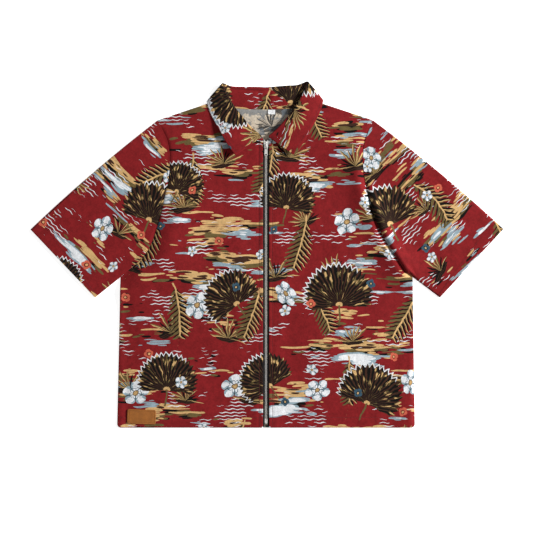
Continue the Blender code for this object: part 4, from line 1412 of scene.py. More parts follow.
def front_relief(x, y, side, sizes):
    """How far the front's cloth stands off its plain form: turned edges, soft waves, the swell and the groove
    along the armhole, and the side seam."""
    own = FRONT_SWELL[side]
    from_hem, from_zip, from_side = y - HEM_Y, np.abs(x), HEM_X - np.abs(x)
    relief = turned_edge(from_hem, sizes.hem_depth, **HEM_EDGE)
    relief += puckers(x, from_hem, sizes.hem_depth, **HEM_PUCKERS)
    relief += turned_edge(from_zip, sizes.zip_stitch_x, **ZIP_EDGE)
    relief += puckers(y, from_zip, sizes.zip_stitch_x + ZIP_PUCKERS_OFF, **ZIP_PUCKERS)
    inside = smoothstep(*WAVES_FROM_SIDE, from_side) * smoothstep(*WAVES_FROM_HEM, from_hem)
    inside *= smoothstep(*WAVES_FROM_ZIP, from_zip)
    relief += FRONT_WAVES * waves(x, y, FRONT_WAVE_LENGTH, own["seed"]) * inside
    from_seam = distance_to_line(x, y, armhole(side, COARSE_ARMHOLE_STEPS))
    lower = smoothstep(*RIDGE_RISES, y) * (1 - smoothstep(*own["fade"], y))
    ridge = (1 - bump(from_seam, 0.0, own["near"])) * bump(from_seam, 0.0, own["far"])
    relief += own["ridge"] * lower * ridge
    relief -= SEAM_GROOVE * bump(from_seam, 0.0, SEAM_GROOVE_WIDTH)
    below = 1 - smoothstep(*SIDE_RIDGE_FADES, y)
    relief += SIDE_RIDGE * below * bump(from_side, **SIDE_RIDGE_PLACE)
    relief -= SIDE_HOLLOW * below * bump(from_side, **SIDE_HOLLOW_PLACE)
    corner = smoothstep(0.0, SIDE_FOLD_STARTS, from_side) * (1 - smoothstep(*SIDE_FOLD_FADES, y))
    return relief + own["side"] * corner * bump(from_side, **SIDE_FOLD)


def rounded_corners(plan):
    """The body's plan with the corners of its hem rounded off."""
    x, y = plan[..., 0], plan[..., 1]
    across = np.clip(1 - (HEM_X - np.abs(x)) / HEM_CORNER, 0.0, 1.0)
    down = np.clip(1 - (y - HEM_Y) / HEM_CORNER, 0.0, 1.0)
    x = x - np.sign(x) * HEM_CORNER * across * (1 - np.sqrt(1 - down**2 / 2))
    y = y + HEM_CORNER * down * (1 - np.sqrt(1 - across**2 / 2))
    return np.stack([x, y], axis=-1)


def make_front(side, sizes):
    """A front, with a row of stitches beside the zip and one above the hem."""
    s = SIDES[side]
    step = sizes.mesh_step
    outer = side_edge(side, round(OUTER_EDGE / step))
    zip_y = HEM_Y + (outer[:, 1] - HEM_Y) * (FRONT_NECK_Y - HEM_Y) / (outer[-1, 1] - HEM_Y)
    inner = np.stack([np.full(len(outer), s * ZIP_EDGE_X), zip_y], axis=1)
    top = with_shoulder(front_neck(side, FRONT_NECK_STEPS)[::-1], side, round(FRONT_TOP_EDGE / step))
    bottom = np.stack([np.linspace(s * ZIP_EDGE_X, s * HEM_X, len(top)), np.full(len(top), HEM_Y)], axis=1)
    plan = rounded_corners(patch(bottom, top, inner, outer))
    if s < 0:
        plan = plan[:, ::-1]
    x, y = plan[..., 0], plan[..., 1]
    height = front_top(x, y) - sizes.cloth_wall / 2 + front_relief(x, y, side, sizes)
    height = np.maximum(height, back_under(x, y) + 2 * CLOTH)
    surface = np.dstack([x, y, height])
    flat = plan + np.array(PRINT_PLACE["front_" + side])
    made = shell("front_cloth_" + side, surface, flat, sizes.cloth_wall, [finish("print"), finish("reverse")])
    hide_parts("front_" + side)
    stitch_x, hem_y = s * sizes.zip_stitch_x, HEM_Y + sizes.hem_depth
    zip_line = [(stitch_x, HEM_Y + ZIP_ROW_SHORT), (stitch_x, FRONT_NECK_Y - ZIP_ROW_SHORT)]
    hem_line = [(s * (ZIP_EDGE_X + HEM_ROW_SHORT), hem_y), (s * (HEM_X - HEM_ROW_SHORT), hem_y)]
    thread = sew("front_stitches_" + side, made, [zip_line, hem_line], sizes, steps=200)
    area = grid_area(surface)


def make_back(sizes):
    """The back, with the print on its underside and its wrong side up."""
    step = sizes.mesh_step * BACK_COARSER
    left, right = (side_edge(side, round(OUTER_EDGE / step)) for side in SIDES)
    half_steps = round(BACK_HALF_TOP_EDGE / step)
    half = {side: with_shoulder(back_neck(side, BACK_NECK_STEPS), side, half_steps) for side in SIDES}
    top = np.concatenate([half["wearer_right"][::-1], half["wearer_left"][1:]])
    bottom = np.stack([np.linspace(-HEM_X, HEM_X, len(top)), np.full(len(top), HEM_Y)], axis=1)
    plan = rounded_corners(patch(bottom, top, left, right))
    x, y = plan[..., 0], plan[..., 1]
    surface = np.dstack([x, y, back_under(x, y) + sizes.cloth_wall / 2])
    flat = np.stack([-x, y], axis=-1) + np.array(PRINT_PLACE["back"])
    materials = [finish("print"), finish("reverse")]
    made = shell("back_cloth", surface, flat, sizes.cloth_wall, materials, outer_slot=1, inner_slot=0)
    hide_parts("back")
    grid_area(surface)


# ---------------- sleeves


def sleeve_plan(side, step):
    """The sleeve's outline in plan, as a grid from the armhole seam to the cuff, the seam's outward side, and
    the shares of the sleeve's length and width at the grid's rows and columns."""
    mirror = np.array([SIDES[side], 1.0])
    across_steps, along_steps = round(SLEEVE_ACROSS / step), round(SLEEVE_ALONG / step)
    seam = armhole(side, across_steps)
    out = outward(seam, side)
    seam = seam + out * GAP
    cuff_under, cuff_top = mirror * CUFF_UNDER[side], mirror * CUFF_TOP[side]
    across = np.linspace(0.0, 1.0, across_steps + 1)[:, None]
    near = np.linspace(0.0, SLEEVE_FOLD_REACH / SLEEVE_LENGTH, SLEEVE_FOLD_STEPS + 1)
    along = np.concatenate([near, np.linspace(near[-1], 1.0, along_steps + 1)[1:]])[:, None]
    cuff = cuff_under * (1 - across) + cuff_top * across
    under = seam[0] * (1 - along) + cuff_under * along
    bow = unit(mirror * SLEEVE_BOW_TOWARDS) * SLEEVE_BOW
    upper = seam[-1] * (1 - along) + cuff_top * along + bow * 4 * along * (1 - along)
    return patch(seam, cuff, under, upper), out, along[:, 0], across[:, 0]


def sleeve_height(row, seam, side, t, share, sizes):
    """One row across the sleeve, at a share t of its length: the radius of its rolled edges, the height of
    its upper layer at the seam and in this row, and how far its fold at the seam stands up."""
    own = SLEEVE_SWELL[side]
    soft = smoothstep(0.0, SLEEVE_ROLL_EASE, t)
    roll = SLEEVE_ROLL_AT_SEAM + (SLEEVE_ROLL - SLEEVE_ROLL_AT_SEAM) * soft
    from_seam, from_cuff = t * SLEEVE_LENGTH, (1 - t) * SLEEVE_LENGTH
    arch = np.sin(math.pi * share)
    crown = 2 * roll + SLEEVE_CROWN * arch
    crown = crown + SLEEVE_WAVES * waves(row[:, 0], row[:, 1], SLEEVE_WAVE_LENGTH, own["seed"]) * arch
    crown = crown + own["swell"] * bump(from_seam, **SWELL_ALONG) * bump(share, **SWELL_SHARE)
    crown = crown + turned_edge(from_cuff, sizes.cuff_depth, **HEM_EDGE)
    low = own["sink"] * bump(share, **SINK_SHARE)
    at_seam = np.maximum(front_top(seam[:, 0], seam[:, 1]) - low, 2 * roll)
    fold = own["fold"] * smoothstep(*FOLD_RISES, share) * (1 - smoothstep(*FOLD_FADES, share))
    groove = SEAM_GROOVE * bump(from_seam, 0.0, SEAM_GROOVE_WIDTH) * smoothstep(*SLEEVE_GROOVE_RISES, share)
    height = np.maximum(at_seam + 2 * fold, crown) * (1 - soft) + crown * soft - groove
    return roll, at_seam, height, fold


def rolled(centre, out, radius, turns, wall):
    """The points of a folded edge between the lower and the upper layer."""
    points = []
    for degrees in turns:
        reach, rise = math.cos(math.radians(degrees)), math.sin(math.radians(degrees))
        x, y = centre + out * (radius - wall / 2) * reach
        points.append((x, y, radius + (radius - wall / 2) * rise))
    return points


def sleeve_rings(side, plan, out, along, share, sizes):
    """Rings of points round the sleeve from its seam to its cuff, each along the lower layer, round the upper
    edge and back along the upper layer, and their places on the flat cloth."""
    wall = sizes.cloth_wall
    turns = np.linspace(-90.0, 90.0, SLEEVE_TURN_STEPS + 1)[1:-1]
    axis = unit((plan[-1, 0] + plan[-1, -1]) / 2 - (plan[0, 0] + plan[0, -1]) / 2)
    square = np.array([-axis[1], axis[0]]) * SIDES[side]
    ease = np.minimum(1.0, np.minimum(share, 1 - share) / SLEEVE_EDGE_EASE)
    rings, flats = [], []
    for i, row in enumerate(plan):
        roll, at_seam, height, fold = sleeve_height(row, plan[0], side, along[i], share, sizes)
        low_out, high_out = unit(row[0] - row[1]), unit(row[-1] - row[-2])
        lower = row.copy()
        lower[0] -= low_out * roll
        lower[-1] -= high_out * roll
        upper = lower.copy()
        if i <= SLEEVE_FOLD_STEPS:
            turned = i / SLEEVE_FOLD_STEPS
            upper -= out * (fold * math.sin(math.pi * turned) * ease)[:, None]
            rise = fold * (1 - math.cos(math.pi * turned))
            height = at_seam + rise + (height - at_seam - 2 * fold) * turned
        height = 2 * roll + (height - 2 * roll) * ease
        ring = [(x, y, wall / 2) for x, y in lower]
        ring += rolled(lower[-1], high_out, roll, turns, wall)
        ring += [(x, y, z - wall / 2) for (x, y), z in zip(upper[::-1], height[::-1])]
        ring += rolled(lower[0], low_out, roll, turns[::-1], wall)
        rings.append(ring)
        u, v = row @ square, row @ axis
        top, bottom = (np.full(len(turns), end) for end in (u[-1], u[0]))
        u = np.concatenate([2 * u[-1] - u, top, u[::-1], bottom])
        v = np.concatenate([v, np.full(len(turns), v[-1]), v[::-1], np.full(len(turns), v[0])])
        flats.append(np.stack([u, -v], axis=1))
    return np.array(rings), np.array(flats)


def make_sleeve(side, sizes):
    """A sleeve, as one piece of cloth folded along its upper edge and closed under the arm."""
    plan, out, along, share = sleeve_plan(side, sizes.mesh_step)
    surface, flat = sleeve_rings(side, plan, out, along, share, sizes)
    flat = flat @ turn_matrix(SLEEVE_GRAIN)
    flat += np.array(PRINT_PLACE["sleeve_" + side])
    if SIDES[side] < 0:
        surface, flat = surface[:, ::-1], flat[:, ::-1]
    materials = [finish("print"), finish("reverse")]
    made = shell("sleeve_cloth_" + side, surface, flat, sizes.cloth_wall, materials, closed=True)
    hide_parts("sleeve_" + side)
    from_cuff = sizes.cuff_depth / SLEEVE_LENGTH
    low, high = (plan[-1, i] * (1 - from_cuff) + plan[0, i] * from_cuff for i in (0, -1))
    inward = (high - low) * CUFF_ROW_SHORT
    thread = sew("cuff_stitches_" + side, made, [[low + inward, high - inward]], sizes, steps=120)
    area = grid_area(surface, closed=True)


# ---------------- the collar's cloth


def neck_seam(side, at):
    """The place on the neck seam at a share of it, from the middle of the back to the zip."""
    if at <= SHOULDER_AT:
        line = back_neck(side, COARSE_BACK_NECK_STEPS)
        share = at / SHOULDER_AT
    else:
        line = front_neck(side, COARSE_FRONT_NECK_STEPS)
        share = (at - SHOULDER_AT) / (1.0 - SHOULDER_AT)
    run = run_along(line)
    return read_at(share * run[-1], run, line)


def collar_section(seam, inward, row):
    """One section of the collar, from the neck seam up the stand, over the roll and down to its edge."""
    turn = math.radians(row["turn"])
    inward = np.array([*inward, 0.0])
    up = np.array([0.0, 0.0, 1.0])
    stand = unit(row["roll"] - seam)
    to_fall = up * math.cos(turn) - inward * math.sin(turn)
    to_fall = unit(to_fall - stand * (to_fall @ stand))
    centre = row["roll"] - stand * row["r"]
    stand_steps, roll_steps, fall_steps = COLLAR_STEPS
    bend = np.linspace(0.0, math.pi, roll_steps + 1)[:, None]
    roll = centre + row["r"] * (stand * np.sin(bend) - to_fall * np.cos(bend))
    rise = np.linspace(0.0, 1.0, stand_steps + 1)[:-1, None]
    fall = np.linspace(0.0, 1.0, fall_steps + 1)[1:, None]
    arch = to_fall * COLLAR_BELLY * 4 * fall * (1 - fall)
    return np.concatenate(
        [seam * (1 - rise) + roll[0] * rise, roll, roll[-1] * (1 - fall) + row["edge"] * fall + arch]
    )


def clear_of_body(section, turn):
    """The section's heights, moved so that its turned-down part clears the body's panels and the floor."""
    x, y, z = section.T.copy()
    from_neck = np.abs(x - NECK_MID_X) - NECK_X
    shoulder_y = NECK_Y + from_neck * (SHOULDER_TIP[1] - NECK_Y) / (SHOULDER_TIP[0] - NECK_X)
    on_panel = (np.arange(len(z)) > FALL_START) & (y < shoulder_y + SHOULDER_MARGIN)
    if turn < COLLAR_FORWARD:
        lowest = front_top(x, y) + GAP + COLLAR_WALL / 2
        z[on_panel] = np.maximum(z, lowest)[on_panel]
    if turn > COLLAR_BEHIND:
        highest = back_under(x, y) - GAP - COLLAR_WALL / 2
        z[on_panel] = np.minimum(z, highest)[on_panel]
    return np.maximum(z, COLLAR_WALL / 2)


def collar_half(side, stations):
    """Half of the collar's sections, from the middle of the back to the zip."""
    s = SIDES[side]
    knots = [row["at"] for row in COLLAR]
    table = {name: spline(knots, [row[name] for row in COLLAR], stations) for name in COLLAR_COLUMNS}
    sections = []
    for i, at in enumerate(stations):
        row = {name: table[name][i].copy() for name in COLLAR_COLUMNS}
        for name in ("roll", "edge"):
            row[name][0] = NECK_MID_X + s * row[name][0]
        seam = neck_seam(side, at)
        inward = unit(row["roll"][:2] - seam)
        x, y = seam + inward * 3 * GAP
        x -= s * (4 * GAP + COLLAR_WALL / 2) * abs(math.sin(math.radians(row["turn"])))
        on_front = smoothstep(*SHOULDER_BLEND, at)
        under = back_under(x, y) + COLLAR_WALL / 2
        height = under * (1 - on_front) + (front_top(x, y) - CLOTH / 2) * on_front
        section = collar_section(np.array([x, y, height]), inward, row)
        section[:, 2] = clear_of_body(section, row["turn"])
        down_fall = np.clip(np.arange(len(section)) - FALL_START, 0, None) / COLLAR_STEPS[2]
        section[:, 2] += COLLAR_LIFT * smoothstep(*COLLAR_LIFT_RISES, at) * down_fall
        section[:, 1] += COLLAR_LEAN * section[:, 0] * smoothstep(BACK_NECK_Y, COLLAR_REAR_Y, section[:, 1])
        sections.append(section)
    return np.array(sections)


def collar_relief(surface, along, across):
    """The collar's small waves, two upright creases in the middle of its stand, and the ridge below its
    roll behind the neck."""
    inside = smoothstep(0.0, COLLAR_EASE, across) * smoothstep(0.0, COLLAR_EASE, across[:, -1:] - across)
    inside *= smoothstep(0.0, COLLAR_END_EASE, np.minimum(along, along[-1] - along))[:, None]
    wide = np.repeat(along[:, None], across.shape[1], axis=1)
    relief = wavy(wide, across, **COLLAR_WAVES)
    middle = along[len(along) // 2]
    creases = sum(bump(along, middle + offset, CREASE_WIDTH) for offset in CREASES_OFF_MIDDLE)
    on_stand = smoothstep(*CREASE_RISES, across) * (1 - smoothstep(*CREASE_FADES, across))
    relief += CREASE * creases[:, None] * on_stand
    sag = ROLL_RIDGE_SAG * bump(along, middle, ROLL_RIDGE_SAG_WIDTH)
    from_ridge = across[:, COLLAR_STEPS[0], None] - across - ROLL_RIDGE_BELOW - sag[:, None]
    behind = 1 - smoothstep(*ROLL_RIDGE_FADES, np.abs(along - middle))
    relief += ROLL_RIDGE * bump(from_ridge, 0.0, ROLL_RIDGE_WIDTH) * behind[:, None]
    return grid_normals(surface) * (relief * inside)[..., None]


def collar_lines(surface, sizes):
    """The collar's rows of stitches: along the lower and upper edge of its stand, and round its edge."""
    normals = -grid_normals(surface) * COLLAR_CLOTH / 2
    runs = [run_along(section) for section in surface]
    past_stand = COLLAR_STEPS[0] + 1

    def at(which, reach):
        """A point of one section, that far from the neck seam along the cloth, and its normal."""
        return [read_at(reach, runs[which], values[which]) for values in (surface, normals)]

    count = len(surface)
    first, last = COLLAR_END_SECTIONS, count - 1 - COLLAR_END_SECTIONS
    back = range(sizes.collar_back_first, count - sizes.collar_back_first)
    rows = [[at(i, NECK_ROW) for i in back], [at(i, runs[i][past_stand] - ROLL_ROW) for i in back]]
    rows.append([at(i, runs[i][-1] - sizes.collar_inset) for i in range(first, last + 1)])
    for end in (first, last):
        start, stop = runs[end][past_stand + COLLAR_FALL_SKIP], runs[end][-1] - sizes.collar_inset
        rows.append([at(end, reach) for reach in np.linspace(start, stop, COLLAR_END_POINTS)])
    return [(np.array([p + n for p, n in row]), unit(np.array([n for _, n in row]))) for row in rows]


def make_collar(sizes):
    """The collar, as one piece of doubled cloth that stands on the neck seam and folds over."""
    stations = np.unique(np.concatenate([np.linspace(*stretch) for stretch in COLLAR_STATIONS]))
    halves = {side: collar_half(side, stations) for side in SIDES}
    surface = np.concatenate([halves["wearer_right"][::-1], halves["wearer_left"][1:]])
    along = run_along(surface.mean(axis=1))
    across = np.array([run_along(section) for section in surface])
    flat = np.dstack([np.repeat(along[:, None], surface.shape[1], axis=1), across])
    flat += np.array(PRINT_PLACE["collar"])
    surface += collar_relief(surface, along, across)
    materials = [finish("print"), finish("print")]
    made = shell("collar_cloth", surface[:, ::-1], flat[:, ::-1], COLLAR_CLOTH, materials, rim_steps=6)
    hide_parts("collar")
    stitched = Parts()
    for line in collar_lines(surface, sizes):
        add_stitches(stitched, line, sizes)
    thread = stitched.build("collar_stitches", finish("thread"))
    area = grid_area(surface)


# ---------------- the zip's pieces


def make_tape(side):
    """Woven tape with a corded edge beside the teeth."""
    s = SIDES[side]
    parts = Parts()
    y = np.linspace(TAPE_BOTTOM_Y, ZIP_TOP_Y, TAPE_STEPS)
    cord_x = s * (TAPE_INNER_X + TAPE_CORD_OFF)
    parts.add(*tube([(cord_x, v, ZIP_Z) for v in y], [TAPE_CORD_R] * len(y), sides=10))
    band = box_loop((-TAPE_BAND / 2, TAPE_BOTTOM_Y), (TAPE_BAND / 2, ZIP_TOP_Y))
    parts.add(*plate([band], TAPE_WALL * TAPE_THIN, bevel=0.0002), moved_to(s * TAPE_BAND_X, 0.0, ZIP_Z))
    made = parts.build("woven_tape_" + side, finish("tape"))
    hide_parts("zip_tape_" + side)


def tooth():
    """One metal tooth that points to +X, with its head at the origin."""
    head = arc((TOOTH_HEAD_X, 0.0), TOOTH_HEAD_R, -90, 90, 6)
    outline = TOOTH_ROOT + head + [(x, -y) for x, y in reversed(TOOTH_ROOT)]
    return plate([outline], TOOTH_HEIGHT, bevel=0.00018, bevel_steps=1)


def make_teeth(sizes):
    """Both rows of teeth, closed into each other, and a stop above each row."""
    pitch = sizes.tooth_pitch
    count = int((CHAIN_TOP_Y - CHAIN_BOTTOM_Y) / pitch)
    points, faces = tooth()
    parts = Parts()
    for s in SIDES.values():
        shift = TOOTH_SHIFT * pitch * s
        for i in range(count):
            y = CHAIN_BOTTOM_Y + (i + 0.5) * pitch + shift
            place = place_matrix((s * TOOTH_OFF_MIDDLE, y, ZIP_Z), (-s, 0.0, 0.0), (0.0, 0.0, 1.0))
            parts.add(points, faces, place)
    made = parts.build("zip_teeth", finish("metal"))
    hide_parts("zip_chain")
    stops = Parts()
    wide, long, high = TOP_STOP
    stop = plate([box_loop((-wide / 2, -long / 2), (wide / 2, long / 2))], high, bevel=0.0004)
    for s in SIDES.values():
        stops.add(*stop, moved_to(s * TOP_STOP_PLACE[0], TOP_STOP_PLACE[1], ZIP_Z))
    stops.build("zip_top_stops", finish("metal"))


def make_zip_box():
    """The lower stop: a rounded box with a groove down its middle and a lip at its lower end."""
    half, low, high = CHAIN_X, BOX_BOTTOM_Y, CHAIN_BOTTOM_Y - GAP
    groove_low, groove_high = BOX_GROOVE_HALVES
    foot = [(-half, low + BOX_FOOT), (-half + BOX_CORNER, low)]
    top = [(half, high - BOX_SHOULDER), (half - BOX_CORNER, high)]
    top += [(groove_high, high), (groove_low, high - BOX_GROOVE_DEEP)]
    parts = Parts()
    box = plate([mirrored_loop(foot) + mirrored_loop(top)], CHAIN_HEIGHT, bevel=0.00045, bevel_steps=3)
    parts.add(*box, moved_to(0.0, 0.0, ZIP_Z))
    lip_half = half * BOX_LIP_SHARE
    lip = box_loop((-lip_half, low + BOX_LIP[0]), (lip_half, low + BOX_LIP[1]))
    parts.add(*plate([lip], BOX_LIP_HEIGHT, bevel=0.0005, bevel_steps=3), moved_to(0.0, 0.0, ZIP_Z))
    made = parts.build("zip_stop_box", finish("metal"))
    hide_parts("zip_box")


def slider_outline(shrink=0.0):
    """The slider's plates: narrow where the closed teeth leave it, and two shoulders at the upper end."""
    top, bottom = SLIDER_TOP_HALF - shrink, SLIDER_BOTTOM_HALF - shrink
    start, end = SLIDER_BOTTOM_Y + shrink, SLIDER_TOP_Y - shrink
    low_round, high_round = SLIDER_BOTTOM_CORNER, SLIDER_TOP_CORNER
    right = arc((bottom - low_round, start + low_round), low_round, -90, 0, 4)
    right += [(bottom + (top - bottom) * wider, start + at * (end - start)) for at, wider in SLIDER_WAIST]
    right += arc((top - high_round, end - high_round), high_round, 0, 90, 4)
    right += [(x, end - down) for x, down in SLIDER_NOTCH]
    return mirrored_loop(right)


def slider_rail(s):
    """The outline of one of the slider's side walls."""
    low_x, high_x = SLIDER_BOTTOM_HALF - RAIL_INSET[0], SLIDER_TOP_HALF - RAIL_INSET[1]
    outer = [(s * low_x, SLIDER_BOTTOM_Y + up) for up in RAIL_BOTTOM]
    outer += [(s * high_x, SLIDER_TOP_Y - down) for down in RAIL_TOP]
    rail = outer + [(x - s * RAIL_WALL, y) for x, y in reversed(outer)]
    return rail[:: int(s)]


def bridge():
    """The slider's crown, seen from its side as an arch with rounded shoulders, then turned upright."""
    foot = ZIP_Z + CHAIN_HEIGHT / 2 + GAP + SLIDER_PLATE * CROWN_FOOT
    bar_low = HINGE_Z + CROWN_CLEARANCE
    top = bar_low + CROWN_BAR
    outline = [(-CROWN_SPAN, foot)]
    outline += arc((-CROWN_SPAN + CROWN_ROUND, top - CROWN_ROUND), CROWN_ROUND, 180, 90, 6)
    outline += arc((CROWN_SPAN - CROWN_ROUND, top - CROWN_ROUND), CROWN_ROUND, 90, 0, 6)
    outline += [(CROWN_SPAN, foot), (CROWN_SPAN - CROWN_BAR, foot), (CROWN_SPAN - CROWN_BAR, bar_low)]
    outline += [(-CROWN_SPAN + CROWN_BAR, bar_low), (-CROWN_SPAN + CROWN_BAR, foot)]
    points, faces = plate([outline], CROWN_HALF * 2, bevel=0.00025, bevel_steps=3)
    return [(z, SLIDER_Y + x, y) for x, y, z in points], faces


def make_slider():
    """Two plates with turned-in side walls, a wedge between them and a bridge that holds the pull tab."""
    plate_low = ZIP_Z + CHAIN_HEIGHT / 2 + GAP
    under_high = ZIP_Z - CHAIN_HEIGHT / 2 - GAP
    plate_middle, under_middle = plate_low + SLIDER_PLATE / 2, under_high - SLIDER_UNDER_PLATE / 2
    parts = Parts()
    upper = plate([slider_outline()], SLIDER_PLATE, bevel=0.0003, bevel_steps=3)
    parts.add(*upper, moved_to(0.0, 0.0, plate_middle))
    under = plate([slider_outline(SLIDER_UNDER_SHRINK)], SLIDER_UNDER_PLATE, bevel=0.0002)
    parts.add(*under, moved_to(0.0, 0.0, under_middle))
    rail_low = ZIP_Z + TAPE_WALL / 2 + GAP
    for s in SIDES.values():
        rail = plate([slider_rail(s)], plate_middle - rail_low, bevel=0.00015)
        parts.add(*rail, moved_to(0.0, 0.0, (plate_middle + rail_low) / 2))
    wide, narrow = WEDGE_HALVES
    high, low = (SLIDER_TOP_Y - down for down in WEDGE_DOWN)
    outline = [(-wide, high), (wide, high), (narrow, low), (-narrow, low)]
    wedge = plate([outline], plate_middle - under_middle, bevel=0.0001)
    parts.add(*wedge, moved_to(0.0, 0.0, (plate_middle + under_middle) / 2))
    parts.add(*bridge())
    made = parts.build("slider", finish("metal"))
    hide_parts("zip_slider")


def make_pull_tab():
    """The tab hangs on its cross bar under the bridge. It has a window for the bridge, and a pressed slot and
    a pressed oval near its free end, each floored with a thin black plate that is painted shade."""
    tip = -TAB_LENGTH + TAB_HALF
    corner = (TAB_HALF - TAB_SHOULDER - TAB_SHOULDER_R, TAB_BAR - TAB_SHOULDER_R)
    right = [(TAB_HALF - narrower, y) for narrower, y in TAB_SIDE]
    right += arc(corner, TAB_SHOULDER_R, 0, 90, 3)
    rim = arc((0.0, tip), TAB_HALF, 180, 360, 18) + mirrored_loop(right)
    window = box_loop((-TAB_WINDOW_HALF, -TAB_WINDOW), (TAB_WINDOW_HALF, -TAB_BAR))
    slot = box_loop((-TAB_SLOT_HALF, -TAB_SLOT_END), (TAB_SLOT_HALF, -TAB_SLOT_TOP))
    oval_round = arc((0.0, tip - TAB_OVAL_INSET), TAB_OVAL_R, 0, 337.5, 15)
    oval = [(x * TAB_OVAL_WIDER, y) for x, y in oval_round]
    rest_z = ZIP_Z + CHAIN_HEIGHT / 2 + GAP + TAB_THICKNESS / 2
    hung = turned_x(math.asin((HINGE_Z - rest_z) / TAB_LENGTH), (0.0, SLIDER_Y, HINGE_Z))
    parts = Parts()
    tab = plate([rim, window, slot, oval], TAB_THICKNESS, bevel=0.00016, bevel_steps=3)
    parts.add(*tab, hung)
    made = parts.build("pull_tab", finish("metal"), body=PULL_BODY)
    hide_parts("zip_pull_tab")
    # Painted shade: thin black plates in the slot and the oval, where the holes would lie in shadow.
    shade_floors = Parts()
    for loop in (slot, oval):
        shade_floors.add(*plate([loop], TAB_FLOOR, bevel=TAB_FLOOR_BEVEL), hung)
    shade_floors.build("pull_tab_painted_shade", finish("painted_shade"), body=PULL_BODY)


# ---------------- patch and label


def on_panel(centre, size, tilt, corner, steps):
    """Where the points of a small rounded rectangle lie on a panel, and where they lie on the rectangle."""
    half_x, half_y = size[0] / 2, size[1] / 2
    u, v = np.meshgrid(np.linspace(-half_x, half_x, steps[0]), np.linspace(-half_y, half_y, steps[1]))
    over_x = np.maximum(np.abs(u) - half_x + corner, 0.0)
    over_y = np.maximum(np.abs(v) - half_y + corner, 0.0)
    share = np.maximum(over_x, over_y) / np.maximum(np.hypot(over_x, over_y), 1e-9)
    share = np.where((over_x > 0) & (over_y > 0), share, 1.0)
    u = u - np.sign(u) * over_x * (1 - share)
    v = v - np.sign(v) * over_y * (1 - share)
    flat = np.dstack([u, v])
    plan = flat @ turn_matrix(tilt) + centre
    return plan[..., 0], plan[..., 1], flat


def make_patch(sizes):
    """The leather patch above the hem, with a row of stitches round it."""
    x, y, flat = on_panel(PATCH_CENTRE, PATCH_SIZE, PATCH_TILT, PATCH_CORNER, PATCH_STEPS)
    half_x, half_y = PATCH_SIZE[0] / 2, PATCH_SIZE[1] / 2
    inset = np.minimum(half_x - np.abs(flat[..., 0]), half_y - np.abs(flat[..., 1]))
    height = front_top(x, y) + 2 * GAP + PATCH_WALL / 2
    height -= PATCH_GROOVE * bump(inset, PATCH_STITCH_INSET, PATCH_GROOVE_WIDTH)
    height += wavy(x, y, **PATCH_WAVES)
    made = shell("patch", np.dstack([x, y, height]), flat, PATCH_WALL, [finish("leather")], inner_slot=0)
    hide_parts("leather_patch")
    row_x, row_y = half_x - PATCH_STITCH_INSET, half_y - PATCH_STITCH_INSET
    corners = box_loop((-row_x, -row_y), (row_x, row_y))
    path = np.array(corners + corners[:1]) @ turn_matrix(PATCH_TILT) + PATCH_CENTRE
    sew("patch_stitches", made, zip(path[:-1], path[1:]), sizes, steps=40, thread="tan_thread")


def make_label():
    """The satin label inside the back neck, with a lower edge that curls up."""
    x, y, flat = on_panel(LABEL_CENTRE, LABEL_SIZE, 0.0, LABEL_CORNER, LABEL_STEPS)
    height = back_under(x, y) + CLOTH + 2 * GAP + LABEL_WALL / 2
    height += LABEL_CURL * smoothstep(*LABEL_CURL_RISES, flat[..., 1])
    made = shell("label", np.dstack([x, y, height]), flat, LABEL_WALL, [finish("label")], inner_slot=0)
    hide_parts("size_label")


# ---------------- the stage


def area_light(name, place, size, power):
    """A rectangular light that points to the shirt's middle."""
    light = bpy.data.lights.new(name, "AREA")
    light.shape = "RECTANGLE"
    light.size, light.size_y = size
    light.energy = power
    made = bpy.data.objects.new(name, light)
    made.location = place
    made.rotation_euler = (-Vector(place)).to_track_quat("-Z", "Y").to_euler()
    bpy.context.scene.collection.objects.link(made)


def add_camera(stage):
    """The camera, which looks straight down."""
    camera = bpy.data.cameras.new("camera")
    camera.lens = stage.lens
    camera.sensor_width = SENSOR_WIDTH
    made = bpy.data.objects.new("camera", camera)
    x, y, z = VIEW_MIDDLE
    made.location = (x, y, z + stage.view_width * stage.lens / camera.sensor_width)
    bpy.context.scene.collection.objects.link(made)
    bpy.context.scene.camera = made


def make_stage(stage):
    """The floor, the lights, the sky and the camera."""
    bpy.ops.mesh.primitive_plane_add(size=FLOOR_SIZE)
    floor = bpy.context.active_object
    floor.name = "floor"
    floor.location.z = FLOOR_Z
    floor.data.materials.append(finish("floor"))
    area_light("key", KEY_PLACE, KEY_SIZE, stage.key_power)
    area_light("overhead", OVERHEAD_PLACE, OVERHEAD_SIZE, stage.fill_power)
    world = bpy.data.worlds.new("studio")
    world.use_nodes = True
    background = world.node_tree.nodes["Background"]
    background.inputs["Color"].default_value = (1.0, 1.0, 1.0, 1.0)
    background.inputs["Strength"].default_value = stage.sky
    bpy.context.scene.world = world
    add_camera(stage)
    bpy.context.scene.view_settings.view_transform = "Standard"


# ---------------- operators


class SHIRT_OT_fronts(bpy.types.Operator):
    """Makes both fronts"""

    bl_idname = "shirt.fronts"
    bl_label = "Fronts"

    def execute(self, context):
        for side in SIDES:
            make_front(side, context.scene.shirt_sizes)
        return {"FINISHED"}


class SHIRT_OT_back(bpy.types.Operator):
    """Makes the back"""

    bl_idname = "shirt.back"
    bl_label = "Back"

    def execute(self, context):
        make_back(context.scene.shirt_sizes)
        return {"FINISHED"}


class SHIRT_OT_sleeves(bpy.types.Operator):
    """Makes both sleeves"""

    bl_idname = "shirt.sleeves"
    bl_label = "Sleeves"

    def execute(self, context):
        for side in SIDES:
            make_sleeve(side, context.scene.shirt_sizes)
        return {"FINISHED"}


class SHIRT_OT_collar(bpy.types.Operator):
    """Makes the collar"""

    bl_idname = "shirt.collar"
    bl_label = "Collar"

    def execute(self, context):
        make_collar(context.scene.shirt_sizes)
        return {"FINISHED"}


